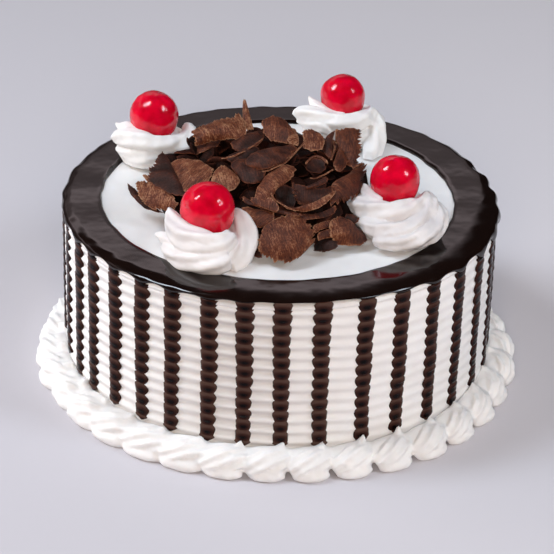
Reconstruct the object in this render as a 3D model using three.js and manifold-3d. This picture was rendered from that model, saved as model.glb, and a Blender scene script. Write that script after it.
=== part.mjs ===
// Black forest cake: a round cream cake with a combed side, a ganache collar that
// runs over the rim and down the side in lines, four piped rosettes that each hold
// a cherry, a heap of chocolate shavings, and a piped shell border at the foot.
// Millimetres, +Z up. The origin is the centre of the cake's foot.
import * as THREE from 'three';
import { mergeGeometries, mergeVertices } from 'three/addons/utils/BufferGeometryUtils.js';
import Module from 'manifold-3d';

// ---- driving dimensions ----
const GAP = 0.3; // clearance between touching pieces

const CAKE_TOP = 82.9; // height of the cream's flat top
const CREST_RADIUS = 98.4; // side radius on the comb's crests
const COMB_DEPTH = 1.4;
const COMB_PITCH = 5.42;
const COMB_TOP = 79.4; // height of the uppermost crest
const COMB_RIDGES = 14;
const CAKE_SEGMENTS = 36;

const GANACHE_THICKNESS = 0.8;
const COLLAR_INNER_RADIUS = 80.1; // inner edge of the ganache collar on the top
const COLLAR_OUTER_RADIUS = 100;
const LIP_BOTTOM = 80.4; // lower edge of the collar's lip on the side
const COLLAR_TOP = CAKE_TOP + GAP + GANACHE_THICKNESS;

// Ganache lines down the side. They were run by eye, so their spacing drifts: between
// these [line number, degrees from -Y towards +X] pairs it is even.
const LINE_SPACING = [[0, -72], [2, -55.5], [8, 1.3], [16, 84.5], [36, 288]];
const LINE_COUNT = 36;
const LINE_WIDTH = 7.6;
const LINE_TAIL_WIDTH = 5.4;
const LINE_BOTTOM = 15;
const LINE_THICKNESS = 1.2;

const CHERRY_SQUASH = 0.96; // height over width
const CUP_CLEARANCE = 0.7; // cream cup's radius beyond its cherry
const CUP_STEPS = 3; // rows of faces in a cup
const ROSETTE_FLUTES = 6;
const ROSETTE_FLUTE_DEPTH = 0.1;
const ROSETTE_TWIST = 0.9; // radians over the rosette's height
const TOPPINGS = [
  { name: 'back_left', at: [-61, 40], radius: 19.6, height: 17, cherryRadius: 11.5, cherryHeight: 104 },
  { name: 'back_right', at: [28.2, 68.8], radius: 21.5, height: 16, cherryRadius: 10.8, cherryHeight: 104 },
  { name: 'front_left', at: [-32, -54], radius: 20.5, height: 15, cherryRadius: 12, cherryHeight: 104 },
  { name: 'right', at: [51, -21.5], radius: 21.5, height: 15, cherryRadius: 11.2, cherryHeight: 105 },
];

const HEAP_CENTRE = [-8, -2];
const HEAP_RADIUS = 64; // largest reach of the shavings from the heap's centre
const HEAP_HEIGHT = 26;
const HEAP_EDGE_HEIGHT = 6; // the outermost shavings stand this high
const HEAP_CLEARANCE = 0.8; // from the rosettes' outlines
const HEAP_LUMP = 2.2; // rise and fall of the shavings about the mound
const HEAP_LUMP_LENGTH = 5.5; // lump to lump, over 2 pi
const HEAP_SEGMENTS = 24;

const SHELL_COUNT = 35;
const SHELL_START = -0.95; // degrees from -Y towards +X of the first shell's middle
const SHELL_CENTRE_RADIUS = 104.6;
const SHELL_OUTER_RADIUS = 111; // reach of the border from the cake's axis
const SHELL_HEIGHT = 14;
const SHELL_FLUTES = 5;
const SHELL_SEGMENTS = 10;

// ---- finishes ----
const CREAM = { color: 0xf3f0ee, roughness: 0.6, metalness: 0 };
const GANACHE = { color: 0x1d110d, roughness: 0.22, metalness: 0 };
const CHERRY = { color: 0xc60d26, roughness: 0.12, metalness: 0 };
const CHOCOLATE = { color: 0x4b2b1f, roughness: 0.55, metalness: 0 };

// ---- shape helpers ----
/** Keeps only the positions of a geometry and merges its shared vertices. */
function weld(geometry) {
  const bare = geometry.clone();
  bare.deleteAttribute('normal');
  bare.deleteAttribute('uv');
  return mergeVertices(bare, 1e-4);
}

/** A closed solid of revolution about +Z from [radius, height] points. */
function revolve(points, segments) {
  const profile = points.map(([radius, height]) => new THREE.Vector2(radius, height));
  return weld(new THREE.LatheGeometry(profile, segments).rotateX(Math.PI / 2));
}

/** Moves every vertex of a geometry by a function from [x, y, z] to [x, y, z]. */
function bend(geometry, move) {
  const position = geometry.getAttribute('position');
  for (let i = 0; i < position.count; i += 1) {
    position.setXYZ(i, ...move([position.getX(i), position.getY(i), position.getZ(i)]));
  }
  return geometry;
}

/** A named mesh in its own material. */
function piece(name, geometry, finish) {
  const drawn = geometry.toNonIndexed();
  drawn.computeVertexNormals();
  const mesh = new THREE.Mesh(drawn, new THREE.MeshStandardMaterial(finish));
  mesh.name = name;
  return mesh;
}

const wasm = await Module();
wasm.setup();

/** A geometry as a solid that can be joined. */
function toSolid(geometry) {
  const welded = weld(geometry);
  const vertProperties = Float32Array.from(welded.getAttribute('position').array);
  const triVerts = Uint32Array.from(welded.getIndex().array);
  return new wasm.Manifold(new wasm.Mesh({ numProp: 3, vertProperties, triVerts }));
}

/** A joined solid as a geometry. */
function toGeometry(solid) {
  const { numProp, vertProperties, triVerts } = solid.getMesh();
  const positions = new Float32Array((vertProperties.length / numProp) * 3);
  for (let i = 0; i < positions.length / 3; i += 1) {
    for (let axis = 0; axis < 3; axis += 1) {
      positions[3 * i + axis] = vertProperties[numProp * i + axis];
    }
  }
  const geometry = new THREE.BufferGeometry();
  geometry.setAttribute('position', new THREE.BufferAttribute(positions, 3));
  geometry.setIndex(Array.from(triVerts));
  return geometry;
}

// ---- cake ----
// The rim's rounding as [radius inside the crest, depth below the flat top].
const RIM_ROUNDING = [[8.4, 0], [4, 0.45], [1.4, 1.3], [0, 2.6]];

/** The cream body: a flat foot, a combed side, a rounded rim and a flat top. */
function cakeGeometry() {
  const profile = [[0, 0], [CREST_RADIUS - COMB_DEPTH, 0]];
  for (let ridge = COMB_RIDGES; ridge >= 0; ridge -= 1) {
    const height = COMB_TOP - ridge * COMB_PITCH;
    profile.push([CREST_RADIUS, height]);
    profile.push([CREST_RADIUS - COMB_DEPTH, height + 0.35 * COMB_PITCH]);
  }
  profile.pop();
  for (const [inset, drop] of RIM_ROUNDING.slice(0, -1).reverse()) {
    profile.push([CREST_RADIUS - inset, CAKE_TOP - drop]);
  }
  profile.push([0, CAKE_TOP]);
  return revolve(profile, CAKE_SEGMENTS);
}

// ---- ganache ----
/** The collar on the top's edge, with its lip over the rim. */
function collarGeometry() {
  const inside = RIM_ROUNDING.map(([inset, drop]) => [CREST_RADIUS - inset + GAP, CAKE_TOP - drop + GAP]);
  const lipOuter = CREST_RADIUS + GAP + LINE_THICKNESS;
  const profile = [
    [COLLAR_INNER_RADIUS, CAKE_TOP + GAP],
    ...inside,
    [CREST_RADIUS + GAP, LIP_BOTTOM],
    [lipOuter - 0.2, LIP_BOTTOM],
    [COLLAR_OUTER_RADIUS, LIP_BOTTOM + 1.1],
    [COLLAR_OUTER_RADIUS - 0.9, COLLAR_TOP - 1],
    [COLLAR_OUTER_RADIUS - 4, COLLAR_TOP - 0.3],
    [COLLAR_OUTER_RADIUS - 10, COLLAR_TOP],
    [COLLAR_INNER_RADIUS + 0.8, COLLAR_TOP],
    [COLLAR_INNER_RADIUS, CAKE_TOP + GAP],
  ];
  return revolve(profile, CAKE_SEGMENTS);
}

/** Angle about +Z, in radians from +X, that lies this many degrees from -Y towards +X. */
function fromFront(degrees) {
  return THREE.MathUtils.degToRad(degrees - 90);
}

/** The angle of one ganache line, evenly spaced between the pairs of LINE_SPACING. */
function lineAngle(line) {
  const next = LINE_SPACING.findIndex(([number]) => number > line);
  const [lowLine, lowAngle] = LINE_SPACING[next - 1];
  const [highLine, highAngle] = LINE_SPACING[next];
  const share = (line - lowLine) / (highLine - lowLine);
  return fromFront(THREE.MathUtils.lerp(lowAngle, highAngle, share));
}

/** One ganache line: a tapering band with a rounded tail, bent to the side's radius. */
function lineGeometry(angle) {
  const top = LIP_BOTTOM + 1;
  const neck = LINE_BOTTOM + LINE_TAIL_WIDTH;
  const outline = new THREE.Shape();
  outline.moveTo(-LINE_WIDTH / 2, top);
  outline.lineTo(-LINE_TAIL_WIDTH / 2, neck);
  outline.quadraticCurveTo(-LINE_TAIL_WIDTH / 2, LINE_BOTTOM, 0, LINE_BOTTOM);
  outline.quadraticCurveTo(LINE_TAIL_WIDTH / 2, LINE_BOTTOM, LINE_TAIL_WIDTH / 2, neck);
  outline.lineTo(LINE_WIDTH / 2, top);
  outline.closePath();
  const band = new THREE.ExtrudeGeometry(outline, {
    depth: LINE_THICKNESS,
    bevelEnabled: false,
    curveSegments: 2,
  });
  const innerRadius = CREST_RADIUS + GAP;
  return bend(band, ([across, height, depth]) => {
    const radius = innerRadius + depth;
    const turn = angle + across / CREST_RADIUS;
    return [radius * Math.cos(turn), radius * Math.sin(turn), height];
  });
}

/** The collar and all its lines, joined as the one skin that they are. */
function ganacheGeometry() {
  const lines = [];
  for (let line = 0; line < LINE_COUNT; line += 1) {
    lines.push(lineGeometry(lineAngle(line)));
  }
  return toGeometry(toSolid(collarGeometry()).add(toSolid(mergeGeometries(lines))));
}

// ---- rosettes and cherries ----
/** Height of a topping's foot: on the collar if it reaches there, or on the cream. */
function footHeight({ at, radius }) {
  const reach = Math.hypot(...at) + radius;
  return (reach > COLLAR_INNER_RADIUS ? COLLAR_TOP : CAKE_TOP) + GAP;
}

/** A rosette: two fluted turns of cream with a round cup that its cherry sits in. */
function rosetteGeometry(topping) {
  const { radius, height, cherryRadius, cherryHeight } = topping;
  const cupRadius = cherryRadius + CUP_CLEARANCE;
  const cupCentre = cherryHeight - footHeight(topping);
  const rimRadius = Math.sqrt(cupRadius ** 2 - (cupCentre - height) ** 2);
  const rimAngle = Math.asin(rimRadius / cupRadius);
  const profile = [
    [0, 0],
    [0.88 * radius, 0],
    [radius, 0.17 * height],
    [0.95 * radius, 0.4 * height],
    [0.8 * radius, 0.54 * height],
    [0.83 * radius, 0.76 * height],
    [(0.8 * radius + rimRadius) / 2, 0.98 * height],
  ];
  for (let step = CUP_STEPS; step >= 0; step -= 1) {
    const angle = (rimAngle * step) / CUP_STEPS;
    profile.push([cupRadius * Math.sin(angle), cupCentre - cupRadius * Math.cos(angle)]);
  }
  const fluted = ([x, y, z]) => {
    const reach = Math.hypot(x, y);
    if (reach < rimRadius + 0.1) {
      return [x, y, z];
    }
    const wave = Math.cos(ROSETTE_FLUTES * Math.atan2(y, x) + (ROSETTE_TWIST * ROSETTE_FLUTES * z) / height);
    const factor = 1 - ROSETTE_FLUTE_DEPTH * (1 - wave) * 0.5;
    return [x * factor, y * factor, z];
  };
  return bend(revolve(profile, 3 * ROSETTE_FLUTES), fluted);
}

/** A cherry: a ball a little wider than tall, with a shallow dimple on top. */
function cherryGeometry({ cherryRadius }) {
  const rows = 8;
  const profile = [];
  for (let row = 0; row <= rows; row += 1) {
    const angle = (Math.PI * row) / rows;
    const dimple = row === rows ? 0.05 * cherryRadius : 0;
    const height = -CHERRY_SQUASH * cherryRadius * Math.cos(angle) - dimple;
    profile.push([row % rows === 0 ? 0 : cherryRadius * Math.sin(angle), height]);
  }
  return revolve(profile, 12);
}

// ---- shavings ----
/** How far a ray from the heap's centre may run before it meets a rosette. */
function freeReach(angle) {
  let reach = HEAP_RADIUS;
  for (const { at, radius } of TOPPINGS) {
    const dx = at[0] - HEAP_CENTRE[0];
    const dy = at[1] - HEAP_CENTRE[1];
    const along = dx * Math.cos(angle) + dy * Math.sin(angle);
    const aside = Math.abs(dy * Math.cos(angle) - dx * Math.sin(angle));
    const clear = radius + HEAP_CLEARANCE;
    if (along > 0 && aside < clear) {
      reach = Math.min(reach, along - Math.sqrt(clear ** 2 - aside ** 2));
    } else if (along > 0) {
      reach = Math.min(reach, Math.hypot(dx, dy) + 3 * (aside - clear));
    }
  }
  return reach;
}

/** The heap of shavings out to its uneven outline: a lumpy, ragged mound. */
function heapGeometry() {
  const edge = HEAP_EDGE_HEIGHT / HEAP_HEIGHT;
  const rows = [[0.96, 0], [1, 0.5 * edge], [0.95, edge], [0.8, 0.5], [0.6, 0.74], [0.38, 0.92], [0.17, 1]];
  const profile = [[0, 0], ...rows, [0, 1]];
  return bend(revolve(profile, HEAP_SEGMENTS), ([x, y, z]) => {
    const angle = Math.atan2(y, x);
    const ragged = 0.95 + 0.05 * Math.cos(9 * angle + 1);
    const reach = Math.hypot(x, y) * freeReach(angle) * ragged;
    const across = reach * Math.cos(angle);
    const along = reach * Math.sin(angle);
    const lump = Math.sin(across / HEAP_LUMP_LENGTH) + Math.cos(along / HEAP_LUMP_LENGTH);
    return [across, along, z === 0 ? 0 : z * HEAP_HEIGHT + HEAP_LUMP * lump * Math.min(1, z)];
  });
}

// ---- shell border ----
/** One piped shell: a fluted dome, tight against its neighbours, leaning on the cake. */
function shellGeometry() {
  const innerReach = SHELL_CENTRE_RADIUS - CREST_RADIUS - GAP;
  const outerReach = SHELL_OUTER_RADIUS - SHELL_CENTRE_RADIUS;
  const sideReach = SHELL_CENTRE_RADIUS * Math.tan(Math.PI / SHELL_COUNT) - GAP;
  const profile = [[0, 0], [0.93, 0], [1, 0.22], [0.86, 0.62], [0.5, 0.92], [0, 1]];
  return bend(revolve(profile, SHELL_SEGMENTS), ([x, y, z]) => {
    const wave = 0.5 - 0.5 * Math.cos(SHELL_FLUTES * Math.atan2(y, x));
    const factor = 1 - 0.07 * wave * z;
    const forward = x > 0 ? x * outerReach : x * innerReach;
    const narrow = 1 + (0.9 * forward) / SHELL_CENTRE_RADIUS;
    return [forward * factor, y * sideReach * narrow * factor * 0.98, z * SHELL_HEIGHT];
  });
}

// ---- assembly ----
const cake = new THREE.Group();
cake.add(piece('cake', cakeGeometry(), CREAM));
cake.add(piece('ganache', ganacheGeometry(), GANACHE));

for (const topping of TOPPINGS) {
  const rosette = piece(`rosette_${topping.name}`, rosetteGeometry(topping), CREAM);
  rosette.position.set(...topping.at, footHeight(topping));
  const cherry = piece(`cherry_${topping.name}`, cherryGeometry(topping), CHERRY);
  cherry.position.set(...topping.at, topping.cherryHeight);
  cake.add(rosette, cherry);
}

const heap = piece('shavings_heap', heapGeometry(), CHOCOLATE);
heap.position.set(...HEAP_CENTRE, CAKE_TOP + GAP);
cake.add(heap);

for (let index = 0; index < SHELL_COUNT; index += 1) {
  const turn = fromFront(SHELL_START + (360 * index) / SHELL_COUNT);
  const shell = piece(`shell_${String(index + 1).padStart(2, '0')}`, shellGeometry(), CREAM);
  shell.position.set(SHELL_CENTRE_RADIUS * Math.cos(turn), SHELL_CENTRE_RADIUS * Math.sin(turn), 0);
  shell.rotation.z = turn;
  cake.add(shell);
}

export default cake;
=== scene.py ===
"""A black forest cake: combed cream, gloss ganache, piped rosettes with glazed cherries and shaved chocolate.

Shapes are worked out in millimetres and written into the meshes in metres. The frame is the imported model's:
+Z up, the origin at the centre of the cake's foot, -Y towards the camera and +X to the right.
"""

from __future__ import annotations

import logging
import math
from dataclasses import dataclass, field
from enum import Enum
from typing import Any, Sequence

import bpy
import numpy as np
from mathutils import Matrix, Vector


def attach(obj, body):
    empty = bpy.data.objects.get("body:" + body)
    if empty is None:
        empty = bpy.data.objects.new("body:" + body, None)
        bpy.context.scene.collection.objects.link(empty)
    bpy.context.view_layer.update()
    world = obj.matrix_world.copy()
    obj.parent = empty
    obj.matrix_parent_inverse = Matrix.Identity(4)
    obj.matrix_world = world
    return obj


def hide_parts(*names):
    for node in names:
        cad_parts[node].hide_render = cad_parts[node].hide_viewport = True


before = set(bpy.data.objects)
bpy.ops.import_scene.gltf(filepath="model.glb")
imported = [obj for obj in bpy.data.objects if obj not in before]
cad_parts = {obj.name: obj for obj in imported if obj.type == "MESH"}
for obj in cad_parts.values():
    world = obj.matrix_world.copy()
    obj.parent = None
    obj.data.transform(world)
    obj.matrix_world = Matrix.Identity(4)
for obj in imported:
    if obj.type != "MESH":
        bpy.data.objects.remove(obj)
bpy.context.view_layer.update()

log = logging.getLogger("cake")
MM = 0.001
ROOT = "root"
TAU = 2.0 * math.pi
Array = np.ndarray

# ---- what the whole cake shares, in millimetres ----
CAKE_TOP = 82.9  # the cream's flat top
CREST_RADIUS = 98.4  # the comb's crests
COMB_PITCH = 5.42  # from one crest to the next
COMB_TOP = 79.4  # where the combed side ends and the rim starts
COLLAR_INNER = 80.1  # the ganache's inner edge
COLLAR_TOP = 84.0  # the ganache's flat top
RING = 100.0  # the ring on which the unevenness round the cake is read
# ---- and as numbers ----
WIDTH = 1.008  # how much wider than deep the cake is
BEADS = 40  # as many different beads as a line can have


class Slot(Enum):
    """The record's material slots."""

    CREAM = "cream"
    GANACHE = "ganache"
    CHERRY = "cherry"
    CHOCOLATE = "chocolate"


class Hand(Enum):
    """The way that a piped swirl winds, seen from above."""

    LEFT = 1
    RIGHT = -1


# ---------------------------------------------------------------------------
# numbers and meshes
# ---------------------------------------------------------------------------
def linear(hex_colour: int) -> tuple[float, float, float, float]:
    """Turns an sRGB hex colour into linear light.

    Args:
        hex_colour: The colour as 0xRRGGBB.

    Returns:
        Linear red, green, blue and an alpha of one.
    """
    parts = [((hex_colour >> shift) & 255) / 255.0 for shift in (16, 8, 0)]
    red, green, blue = (p / 12.92 if p <= 0.04045 else ((p + 0.055) / 1.055) ** 2.4 for p in parts)
    return red, green, blue, 1.0


def smooth(low: float, high: float, value: Array) -> Array:
    """A smooth step: 0 below low, 1 above high, and 3t^2 - 2t^3 between.

    Args:
        low: Where the step starts.
        high: Where it ends.
        value: The places to read it at.

    Returns:
        The step at each place.
    """
    t = np.clip((value - low) / (high - low), 0.0, 1.0)
    return t * t * (3.0 - 2.0 * t)


@dataclass(frozen=True)
class Swell:
    """Soft seeded unevenness: the mean of cosine waves of one length in random directions."""

    length: float
    seed: int
    waves: int = 14

    def at(self, points: Array) -> Array:
        """Reads the unevenness.

        Args:
            points: Places, as an array whose last axis is x, y, z in millimetres.

        Returns:
            About -1 to 1 for each place: sqrt(2 / n) times the sum of cos(k . p + phase).
        """
        draw = np.random.default_rng(self.seed)
        ways = draw.normal(size=(self.waves, 3))
        ways *= TAU / (self.length * np.linalg.norm(ways, axis=1, keepdims=True))
        ways *= draw.uniform(0.7, 1.4, size=(self.waves, 1))
        phases = draw.uniform(0.0, TAU, self.waves)
        return math.sqrt(2.0 / self.waves) * 0.7 * np.cos(points @ ways.T + phases).sum(axis=-1)


@dataclass
class Shape:
    """Points in millimetres and the faces between them, with values carried by each point.

    The faces come in blocks. Each block is an array with one face's point numbers in every row.
    """

    points: Array
    faces: list[Array]
    values: dict[str, Array] = field(default_factory=dict)

    @staticmethod
    def joined(shapes: Sequence[Shape]) -> Shape:
        """Puts several shapes into one, each with its own points.

        Args:
            shapes: The shapes, which all carry the same values.

        Returns:
            One shape.
        """
        starts = np.cumsum([0] + [len(s.points) for s in shapes])
        faces = [block + start for s, start in zip(shapes, starts) for block in s.faces]
        values = {key: np.concatenate([s.values[key] for s in shapes]) for key in shapes[0].values}
        return Shape(np.concatenate([s.points for s in shapes]), faces, values)

    def mesh(self, name: str) -> bpy.types.Mesh:
        """Writes the shape into a smooth-shaded mesh in metres.

        Args:
            name: The mesh's name.

        Returns:
            The mesh, with each carried value as a point attribute.
        """
        made = bpy.data.meshes.new(name)
        faces = [face for block in self.faces for face in block.tolist()]
        made.from_pydata((self.points * MM).tolist(), [], faces)
        for key, value in self.values.items():
            attribute = made.attributes.new(key, "FLOAT", "POINT")
            attribute.data.foreach_set("value", np.ascontiguousarray(value, dtype=np.float32))
        made.polygons.foreach_set("use_smooth", np.ones(len(made.polygons), dtype=bool))
        made.update()
        return made


def grid_faces(rows: int, columns: int, wrap: bool = True, flip: bool = False) -> Array:
    """Works out the quads of a grid of points that are numbered row by row.

    Args:
        rows: Points along the first way.
        columns: Points along the second way.
        wrap: Whether the last column joins the first.
        flip: Whether the faces look the other way.

    Returns:
        The quads, four point numbers in every row.
    """
    across = np.arange(columns if wrap else columns - 1)
    after = (across + 1) % columns
    down = (np.arange(rows - 1) * columns)[:, None]
    quads = np.stack([down + across, down + after, down + columns + after, down + columns + across], axis=-1)
    quads = quads.reshape(-1, 4)
    return quads[:, ::-1] if flip else quads


def tube(rings: Array, values: dict[str, Array] | None = None) -> Shape:
    """Closes a stack of rings into a solid, with a point at the middle of each end ring.

    Args:
        rings: Points as rows of rings, counted anticlockwise seen from the last ring.
        values: Values for each point, in the same rows.

    Returns:
        The closed shape: quads between the rings, then a fan of triangles over each end.
    """
    rows, columns, _ = rings.shape
    ends = np.stack([rings[0].mean(axis=0), rings[-1].mean(axis=0)])
    points = np.concatenate([rings.reshape(-1, 3), ends])
    first, last = rows * columns, rows * columns + 1
    turn = np.arange(columns)
    after = (turn + 1) % columns
    top = (rows - 1) * columns
    first_end = np.stack([after, turn, np.full(columns, first)], axis=-1)
    last_end = np.stack([top + turn, top + after, np.full(columns, last)], axis=-1)
    carried = {}
    for key, value in (values or {}).items():
        carried[key] = np.concatenate([value.reshape(-1), [value[0].mean(), value[-1].mean()]])
    return Shape(points, [grid_faces(rows, columns), first_end, last_end], carried)


def rounded(name: str, shape: Shape, voxel: float, passes: int) -> Shape:
    """Fuses the overlapping parts of a shape into one soft skin.

    Args:
        name: The name for the scratch object.
        shape: The closed, overlapping parts.
        voxel: The size of the fusing grid in millimetres.
        passes: How often the skin is smoothed.

    Returns:
        The fused skin, which is all quads.
    """
    scratch = bpy.data.objects.new(name, shape.mesh(name))
    bpy.context.collection.objects.link(scratch)
    fuse = scratch.modifiers.new("fuse", "REMESH")
    fuse.mode = "VOXEL"
    fuse.voxel_size = voxel * MM
    soften = scratch.modifiers.new("soften", "SMOOTH")
    soften.factor = 0.5
    soften.iterations = passes
    seen = scratch.evaluated_get(bpy.context.evaluated_depsgraph_get())
    skin = bpy.data.meshes.new_from_object(seen)
    bpy.data.objects.remove(scratch)
    points = np.empty(len(skin.vertices) * 3, dtype=np.float32)
    skin.vertices.foreach_get("co", points)
    corners = np.empty(len(skin.loops), dtype=np.int32)
    skin.loops.foreach_get("vertex_index", corners)
    bpy.data.meshes.remove(skin)
    return Shape(points.reshape(-1, 3).astype(float) / MM, [corners.reshape(-1, 4)])


def curve(knots: Array, count: int) -> Array:
    """Runs a smooth line through knots, as a Catmull-Rom curve.

    Args:
        knots: The knots as rows; every column is carried along the same way.
        count: How many places to return.

    Returns:
        The places along the curve, evenly spread over the knots' numbers. Between the knots b and c, with
        a before and d after them, a place is half of 2b + (c - a)t + (2a - 5b + 4c - d)t^2
        + (3b - a - 3c + d)t^3.
    """
    padded = np.concatenate([2 * knots[:1] - knots[1:2], knots, 2 * knots[-1:] - knots[-2:-1]])
    at = np.linspace(0.0, len(knots) - 1.0, count)
    left = np.minimum(at.astype(int), len(knots) - 2)
    t = (at - left)[:, None]
    a, b, c, d = (padded[left + k] for k in range(4))
    return 0.5 * (2 * b + (c - a) * t + (2 * a - 5 * b + 4 * c - d) * t**2 + (3 * b - a - 3 * c + d) * t**3)


@dataclass(frozen=True)
class Nozzle:
    """A piping nozzle: how many ridges it leaves along the cream, how deep they are and how they wind.

    The depth is a share of the rope's radius, the winding is radians from ring to ring, and finest is the
    radius in millimetres below which no rope draws out.
    """

    ridges: int = 5
    depth: float = 0.09
    winding: float = 0.06
    finest: float = 0.15

    def rope(self, knots: Array, spacing: float = 1.0, sides: int = 30) -> Shape:
        """Pipes a rope of cream along knots.

        Args:
            knots: Rows of x, y, z and the rope's radius, in millimetres.
            spacing: About how far apart the rope's rings are.
            sides: Points in each ring.

        Returns:
            The closed rope. Its radius is the knots' times 1 + depth cos(ridges (angle + winding times the
            ring's number)), in rings that stay square to the path without turning about it.
        """
        length = float(np.linalg.norm(np.diff(knots[:, :3], axis=0), axis=1).sum())
        run = curve(knots, max(6, int(length / spacing)))
        path, radius = run[:, :3], np.maximum(run[:, 3], self.finest)
        ahead = np.gradient(path, axis=0)
        ahead /= np.linalg.norm(ahead, axis=1, keepdims=True)
        steep = abs(ahead[0, 2]) >= 0.9
        side = np.cross(ahead[0], [1.0, 0.0, 0.0] if steep else [0.0, 0.0, 1.0])
        # each ring's side is the one before it, laid square to the path again
        sides_at = []
        for way in ahead:
            side = side - way * (side @ way)
            side = side / np.linalg.norm(side)
            sides_at.append(side)
        beside = np.stack(sides_at)
        over = np.cross(ahead, beside)
        angle = np.linspace(0.0, TAU, sides, endpoint=False)
        wound = angle[None, :] + self.winding * np.arange(len(run))[:, None]
        reach = radius[:, None] * (1.0 + self.depth * np.cos(self.ridges * wound))
        across = beside[:, None, :] * np.cos(angle)[None, :, None]
        across = across + over[:, None, :] * np.sin(angle)[None, :, None]
        return tube(path[:, None, :] + reach[..., None] * across)


def place(name: str, shape: Shape, finish: bpy.types.Material, slot: Slot, *nodes: str) -> bpy.types.Object:
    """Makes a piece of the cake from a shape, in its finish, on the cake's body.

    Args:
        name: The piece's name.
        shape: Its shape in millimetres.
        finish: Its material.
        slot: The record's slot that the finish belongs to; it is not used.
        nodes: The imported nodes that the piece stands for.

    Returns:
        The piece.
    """
    piece = bpy.data.objects.new(name, shape.mesh(name))
    bpy.context.collection.objects.link(piece)
    piece.data.materials.append(finish)
    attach(piece, ROOT)
    if nodes:
        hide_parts(*nodes)
    log.info("%s: %d points, %d faces", name, len(piece.data.vertices), len(piece.data.polygons))
    return piece


# ---------------------------------------------------------------------------
# finishes
# ---------------------------------------------------------------------------
def add_node(
    tree: bpy.types.NodeTree,
    kind: str,
    settings: dict[str, Any] | None = None,
    inputs: dict[int | str, Any] | None = None,
) -> bpy.types.Node:
    """Adds a node, sets it and links what feeds it.

    Args:
        tree: The node tree.
        kind: The node's type name.
        settings: Values for the node's own properties.
        inputs: For each input socket, a value or the output socket that feeds it.

    Returns:
        The node.
    """
    node = tree.nodes.new(kind)
    for key, value in (settings or {}).items():
        setattr(node, key, value)
    for key, value in (inputs or {}).items():
        if isinstance(value, bpy.types.NodeSocket):
            tree.links.new(value, node.inputs[key])
        else:
            node.inputs[key].default_value = value
    return node


def per_metre(millimetres: float) -> float:
    """The noise scale whose pattern repeats about every so many millimetres."""
    return 1.0 / (millimetres * MM)


@dataclass(frozen=True)
class Finish:
    """What every finish shares: a name and a fresh material with its shader."""

    name: str

    def begin(self, **shader: Any) -> tuple[bpy.types.Material, bpy.types.NodeTree, bpy.types.Node]:
        """Makes the material and its main shader.

        Args:
            shader: Values for the shader's sockets, with _ for each space in a socket's name.

        Returns:
            The material, its node tree and its shader node.
        """
        material = bpy.data.materials.new(self.name)
        material.use_nodes = True
        tree = material.node_tree
        tree.nodes.clear()
        sockets = {key.replace("_", " "): value for key, value in shader.items()}
        main = add_node(tree, "ShaderNodeBsdfPrincipled", inputs=sockets)
        add_node(tree, "ShaderNodeOutputMaterial", inputs={"Surface": main.outputs["BSDF"]})
        return material, tree, main


@dataclass(frozen=True)
class WhippedCream(Finish):
    """Non-dairy whipped cream, spread and piped: soft white, faintly translucent, with tiny air bubbles.

    The colours are two whites and a grey, which is painted shade in the comb's valleys. Swirl and bubble
    are the millimetres in which the two patterns repeat; the bubbles are drawn three times as coarse as
    they are, to show.
    """

    name: str = "whipped_cream"
    white: int = 0xF4F3F2
    shade: int = 0xEDEBEA
    valley_shade_grey: int = 0xC6BFBC
    bubble: float = 1.3
    swirl: float = 14.0

    def material(self) -> bpy.types.Material:
        """Builds the finish: two whites in clouds, with painted shade greying the comb's valleys, under a
        fine bubble bump.

        Returns:
            The material. It reads the mesh's value groove, 0 to 1, for how much painted shade greys
            the cream.
        """
        material, tree, main = self.begin(
            Roughness=0.48,
            IOR=1.45,
            Subsurface_Weight=0.25,
            Subsurface_Radius=(1.0, 0.85, 0.75),
            Subsurface_Scale=0.9 * MM,
            Specular_IOR_Level=0.35,
        )
        place_at = add_node(tree, "ShaderNodeTexCoord").outputs["Object"]
        clouds = add_node(tree, "ShaderNodeTexNoise", inputs={
            "Vector": place_at, "Scale": per_metre(self.swirl), "Detail": 2.0})
        uneven = add_node(tree, "ShaderNodeMapRange", inputs={
            "Value": clouds.outputs[0], "From Min": 0.3, "From Max": 0.7})
        colour = add_node(tree, "ShaderNodeMix", {"data_type": "RGBA"}, {
            0: uneven.outputs[0], 6: linear(self.white), 7: linear(self.shade)})
        # painted shade: the value groove greys the cream towards the hollow colour in the comb's valleys
        painted_groove_shade = add_node(tree, "ShaderNodeAttribute", {"attribute_name": "painted_groove_shade"}).outputs["Fac"]
        valley_shaded = add_node(tree, "ShaderNodeMix", {"data_type": "RGBA"}, {
            0: painted_groove_shade, 6: colour.outputs[2], 7: linear(self.valley_shade_grey)})
        bubbles = add_node(tree, "ShaderNodeTexNoise", inputs={
            "Vector": place_at, "Scale": per_metre(self.bubble), "Detail": 3.0})
        fine = add_node(tree, "ShaderNodeBump", inputs={
            "Strength": 0.3, "Distance": 0.13 * MM, "Height": bubbles.outputs[0]})
        tree.links.new(valley_shaded.outputs[2], main.inputs["Base Color"])
        tree.links.new(fine.outputs[0], main.inputs["Normal"])
        return material


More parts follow.
